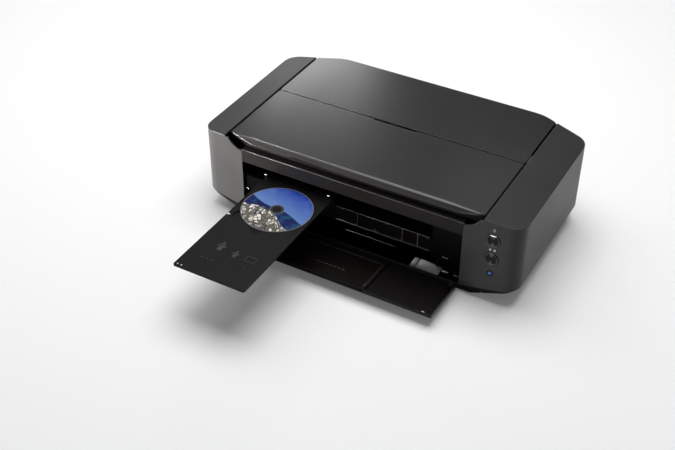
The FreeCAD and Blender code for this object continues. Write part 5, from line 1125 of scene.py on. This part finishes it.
# The ring round the lamp wears the near-black used as painted shade in hollows.
bezel = bmesh.new()
turned_solid(bezel, seen_middle("status_lamp", PANEL_FACE), LAMP_RING, "y", steps=40)
piece("lamp_bezel", bezel, HOLLOW_SHADE_BLACK, "casing")
for button in BUTTONS:
    low, high = corner(button, 0), corner(button, 1)
    radius = (high.x - low.x) / 2 - FLANGE
    collar = bmesh.new()
    turned_solid(collar, seen_middle(button, low.y), [(radius + r, h) for r, h in COLLAR], "y",
                 steps=64)
    piece(button + "_collar", collar, HIGHLIGHT_RIB, button)
print("rings:", MADE[-3:])

# %% [markdown]
# ## Front cover and its extension
# When the cover is down it makes a sloping table. Ribs at its end give a finger some grip, a fine
# raised outline frames the sheet, and a white dash marks a sheet's edge. Every one of them lies on
# the slope, so one helper works out height and turn from a place alone.

# %% Pieces on the slope
SLOPE = math.radians(5)
SLOPE_ROUNDING = 0.15
# A known place on each surface: y and z.
EXTENSION_TOP, COVER_TOP = (-98.5, 21.4), (-131.3, 25.5)
GRIP_RIBS, GRIP_START, GRIP_PITCH = 7, -27, 8.0
OUTLINE = ((-6, -50.5, 146, 0.7), (-76, -86, 0.7, 71), (70, -86, 0.7, 71))


def on_slope(bm, x, y, lift, size, known):
    """A small block that lies on the sloped cover, given a known place of its surface."""
    part = bmesh.new()
    level = known[1] - (y - known[0]) * math.tan(SLOPE)
    turn = Matrix.Translation(Vector((x, y, level + lift)) * MM) @ Matrix.Rotation(-SLOPE, 4, "X")
    stretch = Matrix.Diagonal((*(side * MM for side in size), 1))
    bmesh.ops.create_cube(part, size=1.0, matrix=turn @ stretch)
    rounded(part, part.edges, min(SLOPE_ROUNDING, size[2] / 3))
    join(bm, part)


grip, frame_line, dash = bmesh.new(), bmesh.new(), bmesh.new()
for index in range(GRIP_RIBS):
    on_slope(grip, GRIP_START + GRIP_PITCH * index, -98.6, 0.05, (5.2, 1.2, 0.4), EXTENSION_TOP)
for x, y, wide, deep in OUTLINE:
    on_slope(frame_line, x, y, 0.02, (wide, deep, 0.24), EXTENSION_TOP)
on_slope(dash, 181, -130.0, 0.05, (5.0, 1.6, 0.3), COVER_TOP)
# Grip ribs and outline wear the paler rib tone, a painted highlight on their edges.
piece("extension_grip", grip, HIGHLIGHT_RIB, "output_extension")
piece("extension_outline", frame_line, HIGHLIGHT_RIB, "output_extension")
piece("cover_mark", dash, MARK_WHITE, "front_cover")
print("on the slope:", MADE[-3:])

# %% [markdown]
# ## Under the lid
# The carriage reads its place from a clear strip of film that runs beside its bar, and a coloured
# latch holds each ink tank. Both show only when the lid is up. The latches take their places from
# the tanks, and ride on the carriage.

# %% Latches and film
TANKS = 6
LATCH_HALF = 3.0
ROD_FRONT = corner("guide_rod", 0).y

latches = bmesh.new()
for index in range(TANKS):
    low, high = (corner(f"ink_tank_{index + 1}", which) for which in (0, 1))
    x = (low.x + high.x) / 2
    block(latches, (x - LATCH_HALF, low.y + 1.0, high.z - 0.2),
          (x + LATCH_HALF, low.y + 7.0, high.z + 1.0), 0.4)
piece("tank_latches", latches, LATCH, "carriage")
block_piece("encoder_film", FILM, "casing",
            [((-240.2, ROD_FRONT - 9.0, 139.0), (236.2, ROD_FRONT - 8.7, 145.0), 0.05)])
print(len(MADE), "small pieces")

# %% [markdown]
# ## View transform and the end
# A film-like transform would soften the whites and grey the blacks. A product view wants the tones
# as they are, so the transform is the plain one.

# %% View transform and the end
SCENE.view_settings.view_transform = "Standard"


print("sizes written after", len(MADE), "pieces")
